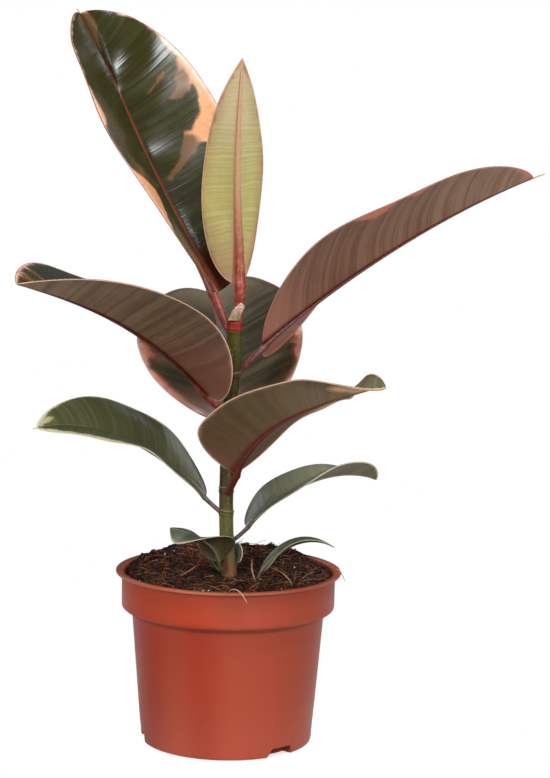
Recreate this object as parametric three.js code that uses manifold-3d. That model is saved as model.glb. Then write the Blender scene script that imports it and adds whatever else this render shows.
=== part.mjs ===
// Potted rubber plant: a young shoot with large oval leaves in a round nursery pot.
// Millimetres, +Z up. The origin is the centre of the pot's flat base, on the surface it stands on.
// +X points right and +Y points away in the view from which the plant is usually seen.
import * as THREE from 'three';
import { mergeVertices } from 'three/addons/utils/BufferGeometryUtils.js';
import Module from 'manifold-3d';

const wasm = await Module();
wasm.setup();

// ---------------------------------------------------------------------------------------------
// Driving dimensions
// ---------------------------------------------------------------------------------------------

const GAP = 0.3; // clearance kept between neighbouring pieces

const POT = {
  height: 107,
  lipRadius: 70,
  lipThickness: 1.8,
  bandRadius: 66.2,
  bandHeight: 22.5, // from the rim down to the rounded lower corner of the band
  stepHeight: 27, // from the rim down to the top of the tapering body
  bodyRadius: 59.6,
  baseRadius: 53.2,
  wall: 1.2,
  floor: 1.4,
  footRound: 1.2, // reach of the rounded corners at the foot,
  bandRound: 1, // under the band
  lipRound: 0.6, // and on the lip
  throat: 1.2, // how far the rim's inner edge opens out
  sides: 48,
};

const DRAIN = {
  count: 3,
  firstAngle: -50, // degrees, counter-clockwise from +X
  width: 20,
  height: 5,
  reach: 7, // how far the notch cuts in from the foot of the wall
  easyFlank: 7, // run of the gentle flank, and of the steep one
  steepFlank: 3,
  below: 1, // how far the cutter starts under the foot, and past the wall
  past: 4,
};

const SOIL = {
  level: 101.8, // height of the surface round the stem
  backRise: 9, // how much higher the filling lies at the back
  riseFrom: -20, // places in Y between which it rises
  riseTo: 58,
  rightFall: 0.6, // the share of the rise that is missing on the right
  fallFrom: 32, // places in X between which it goes missing
  fallTo: 62,
  clump: 2.3, // height of the clumps
  clumpSpacing: 9,
  calmRadius: 12, // the clumps fade in from this radius
  clumpRadius: 26.4, // to this one
  wallGap: 0.55, // wider than GAP, as the pot's wall is faceted
  holeRadius: 5.6,
  holeLength: 60,
  sides: 44,
  rings: 12,
};

const STEM = {
  radius: 4.35,
  footRadius: 4.9,
  footHeight: 101,
  footSpread: 6, // how far the thicker foot reaches up
  buriedTo: 64,
  top: 262,
  sides: 10,
  // Points that the axis runs through: the stem bows a little to the left and back again.
  axis: [[0.4, 0, 64], [0.5, 0, 101], [-1.5, 0, 126], [-2.2, 0, 157], [-1.1, 0, 205],
    [0.9, 0, 229], [0.7, 0, 252], [1.2, 0, 262]],
  nodeHeights: [125.5, 142.5, 156.7, 179, 205, 228.4, 255.5],
  nodeSwelling: 0.55,
  nodeSpread: 1.5,
  nodeRings: [-3, -1.2, 0, 1.2, 3], // rings about each swelling
  plainRings: [90, 95, 99, 104, 111, 190, 214, 239], // rings between them
};

const BLADE = {
  halfThickness: 0.36,
  stations: 14,
  cells: 3, // on each side of the midrib
  taper: [0.5, 0.72], // powers of the distance from the base and from the tip in the outline
  arch: 0.055, // how far each half bulges up, as a share of its width
  endHalfWidth: 0.9,
  tipTurnFrom: 0.72, // the share of the length where the tip's further roll starts
  tipTurnTo: 1.1, // past the tip: the roll is still growing there
};

const RIB = {
  sunk: 0.6, // how far the stalk's centre lies under the blade, as a share of its radius
  end: 0.93, // the share of the blade's length where the midrib fades out
  slender: 0.6, // the midrib's radius past the blade's base, as a share of the stalk's
  leastRadius: 0.2,
  start: 0.03, // the share of the blade's length past which the rod follows the midrib
  flareLength: 0.06, // the share of the blade's length in which the stalk thins to the midrib
  thinning: 0.8, // power of the distance from the tip in the midrib's radius
  bendReach: 0.35, // length of the stalk's control arms, as a share of its span
  stalkSteps: 4,
  sides: 6,
};

// One entry for each leaf. base is where the blade meets the stalk. heading (compass degrees,
// counter-clockwise from +X), rise, roll and fold are degrees at the base, middle and tip of the
// midrib. fold is how far each half is lifted out of flat, and tipTurn is a further roll of the
// last stretch before the tip. drip is the share of the length that is drawn out as a thin point.
// from is the stalk's root in the stem, and leave is the direction (heading, rise) in which the
// stalk leaves it.
const LEAVES = [
  {
    name: 'leaf_upper_left', base: [-10.9, 1.4, 279], length: 243, halfWidth: 63.2, drip: 0.02,
    heading: [155, 121, 128], rise: [58.5, 44.5, 43], roll: [-4, -14, 18], fold: [18, 25, 51],
    wave: [1.1, 2.6, -0.2], from: [0.4, 0.3, 253.5], leave: [160, 44], stalk: [2.9, 3.2], color: 0x2f3a22,
  },
  {
    name: 'leaf_newest', base: [3.4, -2.6, 284], length: 146.5, halfWidth: 27, taper: [0.55, 0.95],
    heading: [255, 270, 278], rise: [89, 64, 72], roll: [-40, -9, -7], fold: [42, 46, 32],
    wave: [0.5, 2], from: [2, 2, 255], leave: [290, 88], stalk: [3.3, 3.4], ribSlender: 0.85,
    color: 0xb5b37c,
  },
  {
    name: 'leaf_upper_right', base: [18.3, 8, 245.5], length: 219, halfWidth: 54, drip: 0.04,
    heading: [40.5, 12, 24.5], rise: [34, 31.5, 18], roll: [56, 22, 23], fold: [8, 20, 27],
    wave: [-2.6, 1.7, 1.1], from: [0.6, 0.3, 226.5], leave: [18, 45], stalk: [2.1, 2.2], color: 0x7d5a4b,
  },
  {
    name: 'leaf_middle_left', base: [-15.1, -18, 218.7], length: 176, halfWidth: 56.5,
    heading: [223.5, 232.5, 227], rise: [43, 23.5, 14], roll: [40, 9, 8], fold: [20, 22, 26],
    wave: [1.6, 1.5, -0.3], from: [-1, -0.3, 203], leave: [230, 35], stalk: [2.1, 2.2], color: 0x6f4f42,
  },
  {
    name: 'leaf_middle_back', base: [-3, 22, 195.2], length: 196, halfWidth: 54.5,
    heading: [95.5, 96.5, 98], rise: [46, 18.5, 5], roll: [-1.5, 10, 11], fold: [11.5, 10, 30.5],
    wave: [-1.2, 2.9], from: [-1.6, 0.5, 178], leave: [92, 35], stalk: [2.1, 2.2], color: 0x39402f,
  },
  {
    name: 'leaf_middle_front', base: [3.7, -20.7, 170.5], length: 141, halfWidth: 39, taper: [0.39, 0.43],
    heading: [288, 313, 363], rise: [39.5, 28, 14.5], roll: [1.5, 6.5, 36], fold: [32.5, 17.5, 13],
    tipTurn: -62, wave: [1.2, 2], from: [-1.7, -0.4, 154], leave: [283, 36], stalk: [2.5, 2.5],
    color: 0x66523f,
  },
  {
    name: 'leaf_lower_left', base: [-14.9, 0, 152.2], length: 122, halfWidth: 30.8, drip: 0.02,
    heading: [183, 193, 205], rise: [45.5, 24.5, -11], roll: [8, 19, 37], fold: [7, 19, 15],
    wave: [-1.3, 2.3, -0.6], from: [-2, 0, 139.5], leave: [180, 42], stalk: [1.4, 1.5], color: 0x4c5636,
  },
  {
    name: 'leaf_lower_right', base: [10.6, 4, 133.1], length: 103, halfWidth: 27.4,
    heading: [17.5, 28.5, 38], rise: [45.5, 15, -22], roll: [9, 7.5, 20], fold: [10, 15.5, 27.5],
    wave: [0.9, 1.8, 0.3], from: [-1.5, 0.2, 122.3], leave: [20, 30], stalk: [1.4, 1.4], color: 0x67705f,
  },
  {
    name: 'leaf_basal_front', base: [-6, -9, 113.5], length: 41, halfWidth: 17, stations: 10, cells: 2,
    heading: [229, 183, 148], rise: [76, 28, 4], roll: [-50, -10, 30], fold: [35, 0, -34],
    wave: [0.3, 1], from: [-0.3, -0.4, 103], leave: [232, 30], stalk: [1.2, 1.2], color: 0x6c7862,
  },
  {
    name: 'leaf_basal_left', base: [-5, 1.6, 106], length: 16, halfWidth: 7.6, stations: 7, cells: 2,
    heading: [170, 176, 198], rise: [24, 60, 62], roll: [-34, -30, -26], fold: [2, 6, 28],
    wave: [0, 1], from: [-0.3, 0.4, 103.3], leave: [170, 20], stalk: [0.9, 0.9], color: 0x566152,
  },
  {
    name: 'leaf_basal_right', base: [5, 1, 110.5], length: 14, halfWidth: 4.5, stations: 7, cells: 2,
    heading: [22, 24, 52], rise: [51, 90, 116], roll: [-12, -9, -3], fold: [13, 13, 16],
    wave: [0, 1], from: [0.4, 0.1, 108.5], leave: [22, 25], stalk: [0.8, 0.8], color: 0x7b8a72,
  },
  {
    name: 'leaf_basal_strap', base: [19.6, -7.8, 107], length: 55, halfWidth: 7.9, taper: [0.6, 0.9],
    stations: 11, cells: 2, heading: [-4, -16, -10], rise: [52, 26, -30], roll: [-28, -9, 19],
    fold: [-5, 17, 7], wave: [0, 1], from: [15.6, -8, 93], leave: [0, 78], stalk: [1.1, 1.1],
    color: 0x4f5b47,
  },
];

const SHEATH = {
  foot: [0.2, -3.4, 262.4],
  tip: [5.2, -5.3, 273],
  halfWidths: [3.4, 3.2, 2.9, 2.5, 2.3, 1.3],
  halfDepths: [1.2, 1.2, 1.1, 1.1, 1.1, 0.7],
  crumple: 0.28,
  sides: 10,
};

// ---------------------------------------------------------------------------------------------
// Helpers
// ---------------------------------------------------------------------------------------------

const SLIVER = 0.012; // edges shorter than this are closed up

const radians = THREE.MathUtils.degToRad;
const vector = (point) => new THREE.Vector3(...point);

// The curve through the values at the start, the middle and the end of a run from 0 to 1.
function along(values, s) {
  const [start, middle, end] = values;
  return start * 2 * (s - 0.5) * (s - 1) + middle * 4 * s * (1 - s) + end * 2 * s * (s - 0.5);
}

function direction(heading, rise) {
  const h = radians(heading);
  const r = radians(rise);
  return new THREE.Vector3(Math.cos(r) * Math.cos(h), Math.cos(r) * Math.sin(h), Math.sin(r));
}

// Smooth hills of a given spacing, from a fixed value at each crossing of a square grid.
function hills(x, y, spacing) {
  const fract = (value) => value - Math.floor(value);
  const crossing = (i, j) => fract(Math.sin(i * 12.9898 + j * 78.233) * 4375.5453);
  const ease = (value) => value * value * (3 - 2 * value);
  const i = Math.floor(x / spacing);
  const j = Math.floor(y / spacing);
  const u = ease(x / spacing - i);
  const v = ease(y / spacing - j);
  const near = crossing(i, j) * (1 - u) + crossing(i + 1, j) * u;
  const far = crossing(i, j + 1) * (1 - u) + crossing(i + 1, j + 1) * u;
  return near * (1 - v) + far * v;
}

function geometryFrom(points, triangles) {
  const geometry = new THREE.BufferGeometry();
  geometry.setAttribute('position', new THREE.Float32BufferAttribute(points.flatMap((p) => p.toArray()), 3));
  geometry.setIndex(triangles);
  return geometry;
}

// Joins rings of points, each running round the body, into a closed skin with a cap at each end.
// Where mirrored is set, the second half of a ring is the underside of the first half, and its
// squares are split along the same diagonal as those above them. Its caps are strips between the two.
function skin(rings, mirrored = false) {
  const count = rings[0].length;
  const points = rings.flat();
  const triangles = [];
  for (let i = 0; i < rings.length - 1; i += 1) {
    for (let k = 0; k < count; k += 1) {
      const a = i * count + k;
      const b = i * count + ((k + 1) % count);
      const c = a + count;
      const d = b + count;
      if (mirrored && k >= count / 2) triangles.push(a, b, c, b, d, c);
      else triangles.push(a, b, d, a, d, c);
    }
  }
  const cap = (first, reversed) => {
    const corner = (a, b, c) => triangles.push(first + a, first + (reversed ? c : b), first + (reversed ? b : c));
    if (!mirrored) {
      for (let k = 1; k < count - 1; k += 1) corner(0, k, k + 1);
      return;
    }
    for (let k = 0; k < count / 2 - 1; k += 1) {
      const under = count - 1 - k;
      corner(k, k + 1, under);
      corner(k + 1, under - 1, under);
    }
  };
  cap(0, true);
  cap((rings.length - 1) * count, false);
  return geometryFrom(points, triangles);
}

function signedVolume(geometry) {
  const position = geometry.getAttribute('position');
  const index = geometry.getIndex().array;
  const [a, b, c] = [new THREE.Vector3(), new THREE.Vector3(), new THREE.Vector3()];
  let volume = 0;
  for (let i = 0; i < index.length; i += 3) {
    a.fromBufferAttribute(position, index[i]);
    b.fromBufferAttribute(position, index[i + 1]);
    c.fromBufferAttribute(position, index[i + 2]);
    volume += a.dot(b.cross(c)) / 6;
  }
  return volume;
}

// A closed three.js geometry as a solid that can be joined and cut.
function solidFrom(geometry) {
  geometry.deleteAttribute('normal');
  geometry.deleteAttribute('uv');
  const merged = mergeVertices(geometry, 1e-4);
  const triVerts = Uint32Array.from(merged.getIndex().array);
  if (signedVolume(merged) < 0) triVerts.reverse();
  const vertProperties = Float32Array.from(merged.getAttribute('position').array);
  return new wasm.Manifold(new wasm.Mesh({ numProp: 3, vertProperties, triVerts }));
}

function geometryOf(solid) {
  const mesh = solid.getMesh();
  const geometry = new THREE.BufferGeometry();
  geometry.setAttribute('position', new THREE.BufferAttribute(Float32Array.from(mesh.vertProperties), 3));
  geometry.setIndex(new THREE.BufferAttribute(Uint32Array.from(mesh.triVerts), 1));
  geometry.computeVertexNormals();
  return geometry;
}

// The largest of the bodies that a cut leaves, without the slivers along the cut.
function largest(solid) {
  const kept = solid.decompose().reduce((best, body) => (body.volume() > best.volume() ? body : best));
  return kept.asOriginal().simplify(SLIVER);
}

// A round rod along a curve, with its radius given at each share of the length.
function rod(curve, segments, sides, radiusAt) {
  const frames = curve.computeFrenetFrames(segments, false);
  const rings = [];
  for (let i = 0; i <= segments; i += 1) {
    const centre = curve.getPointAt(i / segments);
    const ring = [];
    for (let k = 0; k < sides; k += 1) {
      const angle = (2 * Math.PI * k) / sides;
      ring.push(centre.clone()
        .addScaledVector(frames.normals[i], Math.cos(angle) * radiusAt(i / segments))
        .addScaledVector(frames.binormals[i], Math.sin(angle) * radiusAt(i / segments)));
    }
    rings.push(ring);
  }
  return solidFrom(skin(rings));
}

// A shape turned about the vertical axis, from (radius, height) pairs that start and end on it.
function turned(profile, sides) {
  const geometry = new THREE.LatheGeometry(profile.map(([r, z]) => new THREE.Vector2(r, z)), sides);
  geometry.rotateX(Math.PI / 2);
  return solidFrom(geometry);
}

// ---------------------------------------------------------------------------------------------
// Pot
// ---------------------------------------------------------------------------------------------

function potProfile() {
  const { height, wall, floor, throat, baseRadius, bodyRadius, bandRadius, lipRadius } = POT;
  const { footRound, bandRound, lipRound } = POT;
  const band = height - POT.bandHeight;
  const step = height - POT.stepHeight;
  const underLip = height - POT.lipThickness;
  const outside = [
    [0, 0], [baseRadius - footRound, 0], [baseRadius - footRound / 4, footRound / 3],
    [baseRadius, footRound], [bodyRadius, step], [bandRadius - bandRound, band - 0.7 * bandRound],
    [bandRadius - 0.3 * bandRound, band], [bandRadius - 0.1 * bandRound, band + bandRound],
    [bandRadius, underLip],
    [lipRadius - 0.7 * lipRound, underLip], [lipRadius, height - 2 * lipRound],
    [lipRadius - lipRound / 6, height - lipRound], [lipRadius - lipRound, height],
  ];
  const inner = bandRadius - wall;
  const inside = [
    [inner + throat, height], [inner + throat / 4, height - throat / 2], [inner, height - 2 * throat],
    [inner - GAP, band + wall / 2], [bodyRadius - wall, step + wall / 2],
    [baseRadius - wall, floor + footRound], [baseRadius - wall - footRound, floor], [0, floor],
  ];
  return [...outside, ...inside];
}

// An arched notch through the foot of the wall, one flank steeper than the other.
function drainNotch(angle) {
  const { height, easyFlank, steepFlank, below } = DRAIN;
  const half = DRAIN.width / 2;
  const outline = new THREE.Shape();
  outline.moveTo(-half, -below);
  outline.lineTo(-half + easyFlank / 5, height / 2);
  outline.quadraticCurveTo(-half + easyFlank / 2, height, -half + easyFlank, height);
  outline.lineTo(half - steepFlank, height);
  outline.quadraticCurveTo(half - steepFlank / 4, height, half - steepFlank / 8, height / 2);
  outline.lineTo(half, -below);
  outline.closePath();
  const depth = DRAIN.reach + DRAIN.past;
  const geometry = new THREE.ExtrudeGeometry(outline, { depth, bevelEnabled: false, curveSegments: 4 });
  geometry.rotateX(Math.PI / 2);
  geometry.rotateZ(Math.PI / 2);
  geometry.translate(POT.baseRadius - DRAIN.reach, 0, 0);
  geometry.rotateZ(radians(angle));
  return solidFrom(geometry);
}

function potSolid() {
  let pot = turned(potProfile(), POT.sides);
  for (let i = 0; i < DRAIN.count; i += 1) {
    pot = pot.subtract(drainNotch(DRAIN.firstAngle + (i * 360) / DRAIN.count));
  }
  return largest(pot);
}

// ---------------------------------------------------------------------------------------------
// Stem
// ---------------------------------------------------------------------------------------------

const stemCurve = new THREE.CatmullRomCurve3(STEM.axis.map(vector));

// The stem's radius at a height: a thicker foot and a low swelling at each leaf scar.
function stemRadius(z) {
  const foot = (STEM.footRadius - STEM.radius) * Math.exp(-(((z - STEM.footHeight) / STEM.footSpread) ** 2));
  const swelling = (height) => STEM.nodeSwelling * Math.exp(-(((z - height) / STEM.nodeSpread) ** 2));
  return STEM.radius + foot + STEM.nodeHeights.reduce((sum, height) => sum + swelling(height), 0);
}

// The heights of the stem's rings: closer together at the leaf scars.
function stemHeights() {
  const scars = STEM.nodeHeights.flatMap((height) => STEM.nodeRings.map((offset) => height + offset));
  return [STEM.buriedTo, ...STEM.plainRings, ...scars, STEM.top].sort((a, b) => a - b);
}

// The point of the stem's axis at a height, found by halving, as the axis rises all the way.
function stemCentre(z) {
  let low = 0;
  let high = 1;
  for (let i = 0; i < 30; i += 1) {
    const middle = (low + high) / 2;
    if (stemCurve.getPoint(middle).z < z) low = middle;
    else high = middle;
  }
  return stemCurve.getPoint((low + high) / 2).setZ(z);
}

function stemSolid(extra = 0) {
  const heights = stemHeights();
  const rings = heights.map((z, row) => {
    const end = row === heights.length - 1 ? extra : 0;
    const centre = stemCentre(z).setZ(z + end);
    return Array.from({ length: STEM.sides }, (_, k) => {
      const angle = (2 * Math.PI * k) / STEM.sides;
      const radius = stemRadius(z) + extra;
      return new THREE.Vector3(Math.cos(angle) * radius, Math.sin(angle) * radius, 0).add(centre);
    });
  });
  return solidFrom(skin(rings));
}

// ---------------------------------------------------------------------------------------------
// Leaves
// ---------------------------------------------------------------------------------------------

// Frames along a leaf's midrib: its place, its direction, and the blade's side and upward ways.
function midribFrames(leaf) {
  const count = leaf.stations ?? BLADE.stations;
  const fine = 120;
  const frameAt = (s) => {
    const heading = radians(along(leaf.heading, s));
    const rise = along(leaf.rise, s);
    const turn = (leaf.tipTurn ?? 0) * THREE.MathUtils.smoothstep(s, BLADE.tipTurnFrom, BLADE.tipTurnTo);
    const roll = radians(along(leaf.roll, s) + turn);
    const forward = direction(along(leaf.heading, s), rise);
    const flatSide = new THREE.Vector3(Math.sin(heading), -Math.cos(heading), 0);
    const flatUp = flatSide.clone().cross(forward);
    const side = flatSide.clone().multiplyScalar(Math.cos(roll)).addScaledVector(flatUp, Math.sin(roll));
    const up = flatUp.clone().multiplyScalar(Math.cos(roll)).addScaledVector(flatSide, -Math.sin(roll));
    return { s, forward, side, up };
  };
  const places = [vector(leaf.base)];
  for (let i = 0; i < fine; i += 1) {
    const forward = frameAt((i + 0.5) / fine).forward;
    places.push(places[i].clone().addScaledVector(forward, leaf.length / fine));
  }
  return Array.from({ length: count + 1 }, (_, i) => {
    const s = (1 - Math.cos((Math.PI * i) / count)) / 2;
    const step = Math.min(Math.floor(s * fine), fine - 1);
    const place = places[step].clone().lerp(places[step + 1], s * fine - step);
    return { ...frameAt(s), place };
  });
}

// Half the blade's width at a share of its length: round at the base, drawn out at the tip.
function bladeHalfWidth(leaf, s) {
  const [base, tip] = leaf.taper ?? BLADE.taper;
  const widest = base / (base + tip);
  const shape = (at) => at ** base * (1 - at) ** tip;
  const share = Math.min(s / (1 - (leaf.drip ?? 0)), 1);
  return Math.max((leaf.halfWidth * shape(share)) / shape(widest), BLADE.endHalfWidth);
}

function bladeSolid(leaf, frames) {
  const cells = leaf.cells ?? BLADE.cells;
  const [amplitude, cycles, phase = 0] = leaf.wave;
  const rings = frames.map(({ s, place, side, up }) => {
    const width = bladeHalfWidth(leaf, s);
    const fold = radians(along(leaf.fold, s));
    const top = [];
    const bottom = [];
    for (let j = -cells; j <= cells; j += 1) {
      const t = j / cells;
      const hand = Math.sign(t);
      const out = side.clone().multiplyScalar(hand * Math.cos(fold)).addScaledVector(up, Math.sin(fold));
      const normal = up.clone().multiplyScalar(Math.cos(fold)).addScaledVector(side, -hand * Math.sin(fold));
      if (j === 0) normal.copy(up);
      const share = Math.abs(t);
      const bulge = BLADE.arch * width * 4 * share * (1 - share);
      const swing = Math.sin(2 * Math.PI * cycles * s + hand + phase);
      const ripple = amplitude * t * t * swing * Math.sin(Math.PI * s);
      const middle = place.clone().addScaledVector(out, share * width).addScaledVector(normal, bulge + ripple);
      top.push(middle.clone().addScaledVector(normal, BLADE.halfThickness));
      bottom.push(middle.clone().addScaledVector(normal, -BLADE.halfThickness));
    }
    return [...top, ...bottom.reverse()];
  });
  return solidFrom(skin(rings, true));
}

// The stalk from its root to the blade, and the midrib that carries on under the blade.
function stalkSolid(leaf, frames, extra = 0) {
  const [rootRadius, baseRadius] = leaf.stalk;
  const root = vector(leaf.from);
  const [first] = frames;
  const join = first.place.clone().addScaledVector(first.up, -RIB.sunk * baseRadius);
  const reach = root.distanceTo(join) * RIB.bendReach;
  const bend = new THREE.CubicBezierCurve3(
    root,
    root.clone().addScaledVector(direction(...leaf.leave), reach),
    join.clone().addScaledVector(first.forward, -reach),
    join,
  );
  const slender = leaf.ribSlender ?? RIB.slender;
  const flare = (s) => (1 - slender) * Math.exp(-s / RIB.flareLength);
  const ribRadius = (s) => baseRadius * (slender * (1 - s) ** RIB.thinning + flare(s)) + RIB.leastRadius;
  const rib = frames.filter(({ s }) => s > RIB.start && s < RIB.end)
    .map(({ s, place, up }) => place.clone().addScaledVector(up, -RIB.sunk * ribRadius(s)));
  const curve = new THREE.CatmullRomCurve3([...bend.getPoints(RIB.stalkSteps), ...rib]);
  const stalkShare = bend.getLength() / curve.getLength();
  const radiusAt = (share) => {
    if (share < stalkShare) return THREE.MathUtils.lerp(rootRadius, baseRadius, share / stalkShare) + extra;
    return ribRadius(((share - stalkShare) / (1 - stalkShare)) * RIB.end) + extra;
  };
  return rod(curve, RIB.stalkSteps + rib.length, RIB.sides, radiusAt);
}

function leafSolid(leaf, clearance) {
  const frames = midribFrames(leaf);
  const grown = bladeSolid(leaf, frames).add(stalkSolid(leaf, frames));
  return largest(grown.subtract(clearance));
}

// ---------------------------------------------------------------------------------------------
// Dried sheath at the top of the stem
// ---------------------------------------------------------------------------------------------

function sheathSolid(clearance) {
  const rows = SHEATH.halfWidths.length;
  const rings = SHEATH.halfWidths.map((halfWidth, row) => {
    const centre = vector(SHEATH.foot).lerp(vector(SHEATH.tip), row / (rows - 1));
    return Array.from({ length: SHEATH.sides }, (_, k) => {
      const angle = (2 * Math.PI * k) / SHEATH.sides;
      const pleat = 1 + SHEATH.crumple * ((k + row) % 2 === 0 ? 1 : -1) * (row / rows);
      const x = Math.cos(angle) * halfWidth * pleat;
      const y = Math.sin(angle) * SHEATH.halfDepths[row] * pleat;
      return new THREE.Vector3(x, y, 0).add(centre);
    });
  });
  return largest(solidFrom(skin(rings)).subtract(clearance));
}

// ---------------------------------------------------------------------------------------------
// Soil
// ---------------------------------------------------------------------------------------------

function soilHeight(x, y) {
  const { smoothstep } = THREE.MathUtils;
  const left = 1 - SOIL.rightFall * smoothstep(x, SOIL.fallFrom, SOIL.fallTo);
  const back = SOIL.backRise * left * smoothstep(y, SOIL.riseFrom, SOIL.riseTo);
  const calm = smoothstep(Math.hypot(x, y), SOIL.calmRadius, SOIL.clumpRadius);
  const coarse = hills(x, y, SOIL.clumpSpacing) - 0.5;
  const fine = hills(x + 40, y - 25, SOIL.clumpSpacing * 0.55) - 0.5;
  return SOIL.level + back + calm * SOIL.clump * (1.1 * coarse + 0.7 * fine);
}

function soilSolid(stalkHole) {
  const step = POT.height - POT.stepHeight;
  const edge = POT.bandRadius - POT.wall - GAP - SOIL.wallGap;
  const ringAt = (radius, heightAt) => Array.from({ length: SOIL.sides }, (_, k) => {
    const angle = (2 * Math.PI * k) / SOIL.sides;
    const x = Math.cos(angle) * radius;
    const y = Math.sin(angle) * radius;
    return new THREE.Vector3(x, y, heightAt(x, y));
  });
  const level = (height) => () => height;
  const rings = [
    ringAt(POT.baseRadius - POT.wall - 2 * POT.footRound, level(POT.floor + GAP)),
    ringAt(POT.bodyRadius - POT.wall - SOIL.wallGap, level(step + POT.wall)),
    ringAt(edge, level(POT.height - POT.bandHeight + POT.wall)),
  ];
  for (let row = SOIL.rings; row > 0; row -= 1) {
    rings.push(ringAt((edge * row) / SOIL.rings, soilHeight));
  }
  const filling = solidFrom(skin(rings));
  const holeFloor = STEM.buriedTo - GAP;
  const hole = new THREE.CylinderGeometry(SOIL.holeRadius, SOIL.holeRadius, SOIL.holeLength, 20);
  hole.rotateX(Math.PI / 2);
  hole.translate(STEM.axis[0][0], 0, holeFloor + SOIL.holeLength / 2);
  return largest(filling.subtract(solidFrom(hole)).subtract(stalkHole));
}

// ---------------------------------------------------------------------------------------------
// The plant
// ---------------------------------------------------------------------------------------------

const MATERIALS = {
  pot: { color: 0xb5533a, roughness: 0.42, metalness: 0 },
  soil: { color: 0x3b241b, roughness: 0.95, metalness: 0 },
  stem: { color: 0x5d6130, roughness: 0.6, metalness: 0 },
  stipule_sheath: { color: 0xb9ad8c, roughness: 0.4, metalness: 0 },
  leaf: { roughness: 0.38, metalness: 0 },
};

const plant = new THREE.Group();

function place(name, solid, material) {
  const mesh = new THREE.Mesh(geometryOf(solid), new THREE.MeshStandardMaterial(material));
  mesh.name = name;
  plant.add(mesh);
}

const leafNamed = (name) => LEAVES.find((leaf) => leaf.name === name);
const inflatedStalk = (leaf) => stalkSolid(leaf, midribFrames(leaf), GAP + 0.1);
const stemClearance = stemSolid(GAP);

place('pot', potSolid(), MATERIALS.pot);
place('soil', soilSolid(inflatedStalk(leafNamed('leaf_basal_strap'))), MATERIALS.soil);
place('stem', stemSolid(), MATERIALS.stem);
place(
  'stipule_sheath',
  sheathSolid(stemClearance.add(inflatedStalk(leafNamed('leaf_newest')))),
  MATERIALS.stipule_sheath,
);
for (const leaf of LEAVES) {
  place(leaf.name, leafSolid(leaf, stemClearance), { ...MATERIALS.leaf, color: leaf.color });
}

export default plant;
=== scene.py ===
"""A young variegated rubber plant in a terracotta-coloured nursery pot.

Every length in the size fields is in millimetres and every angle in degrees. Meshes are in metres,
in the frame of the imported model: +Z up, +X to the right and +Y away from the camera.
"""

import logging
import math
from dataclasses import dataclass
from enum import Enum

import bpy
import numpy as np
from mathutils import Matrix, Vector

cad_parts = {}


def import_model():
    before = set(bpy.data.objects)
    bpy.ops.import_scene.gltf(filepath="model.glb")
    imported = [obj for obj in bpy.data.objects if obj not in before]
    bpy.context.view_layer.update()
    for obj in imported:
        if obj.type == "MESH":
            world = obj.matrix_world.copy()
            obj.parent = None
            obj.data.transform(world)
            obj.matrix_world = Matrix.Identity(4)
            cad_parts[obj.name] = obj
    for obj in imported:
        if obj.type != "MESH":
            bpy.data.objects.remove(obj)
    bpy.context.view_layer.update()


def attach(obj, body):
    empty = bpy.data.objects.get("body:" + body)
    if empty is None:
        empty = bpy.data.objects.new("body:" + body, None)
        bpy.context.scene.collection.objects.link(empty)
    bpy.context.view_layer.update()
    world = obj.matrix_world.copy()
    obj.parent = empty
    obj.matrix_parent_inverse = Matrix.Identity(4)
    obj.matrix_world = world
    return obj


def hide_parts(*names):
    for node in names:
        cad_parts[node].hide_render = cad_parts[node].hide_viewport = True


LOG = logging.getLogger("rubber_plant")
MM = 0.001
BODY = "root"
Array = np.ndarray
Faces = list[Array]
Pairs = tuple[tuple[float, float], ...]
Triple = tuple[float, float, float]
Stops = tuple[tuple[float, str], ...]


# ---------- Numbers and fields ----------


def tone(code: str) -> tuple[float, float, float, float]:
    """Turns a colour written as six hex digits into linear red, green, blue and alpha.

    Args:
        code: The colour as it looks on a screen, such as "b5533a".

    Returns:
        The linear colour, with alpha 1.
    """
    parts = [int(code[i : i + 2], 16) / 255 for i in (0, 2, 4)]
    linear = [p / 12.92 if p <= 0.04045 else ((p + 0.055) / 1.055) ** 2.4 for p in parts]
    return (linear[0], linear[1], linear[2], 1.0)


def along(values: Triple, s: Array) -> Array:
    """The parabola through three values at the start, the middle and the end of a run.

    Args:
        values: The values at s = 0, 0.5 and 1.
        s: Shares of the run.

    Returns:
        The value at each share.
    """
    start, middle, end = values
    return start * 2 * (s - 0.5) * (s - 1) + middle * 4 * s * (1 - s) + end * 2 * s * (s - 0.5)


def ease(x: Array, low: float, high: float) -> Array:
    """A smooth step, 3u^2 - 2u^3, where u runs from 0 at low to 1 at high.

    Args:
        x: Where the step is read.
        low: Where it leaves 0.
        high: Where it reaches 1.

    Returns:
        The step's height at each x.
    """
    u = np.clip((x - low) / (high - low), 0, 1)
    return u * u * (3 - 2 * u)


def hills(x: Array, y: Array, spacing: float) -> Array:
    """Smooth hills from 0 to 1: a fixed value at each crossing of a square grid, eased between.

    The value at crossing (i, j) is the fraction of 4375.5453 sin(12.9898 i + 78.233 j).

    Args:
        x: First coordinate.
        y: Second coordinate.
        spacing: Distance between the crossings.

    Returns:
        The height at each point.
    """
    i, j = np.floor(x / spacing), np.floor(y / spacing)
    u, v = x / spacing - i, y / spacing - j
    u, v = u * u * (3 - 2 * u), v * v * (3 - 2 * v)

    def crossing(a: Array, b: Array) -> Array:
        """The fixed value at a crossing."""
        value = np.sin(a * 12.9898 + b * 78.233) * 4375.5453
        return value - np.floor(value)

    near = crossing(i, j) * (1 - u) + crossing(i + 1, j) * u
    far = crossing(i, j + 1) * (1 - u) + crossing(i + 1, j + 1) * u
    return near * (1 - v) + far * v


def unit(vectors: Array) -> Array:
    """Vectors scaled to length 1, along the last axis."""
    return vectors / np.maximum(np.linalg.norm(vectors, axis=-1, keepdims=True), 1e-12)


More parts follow.
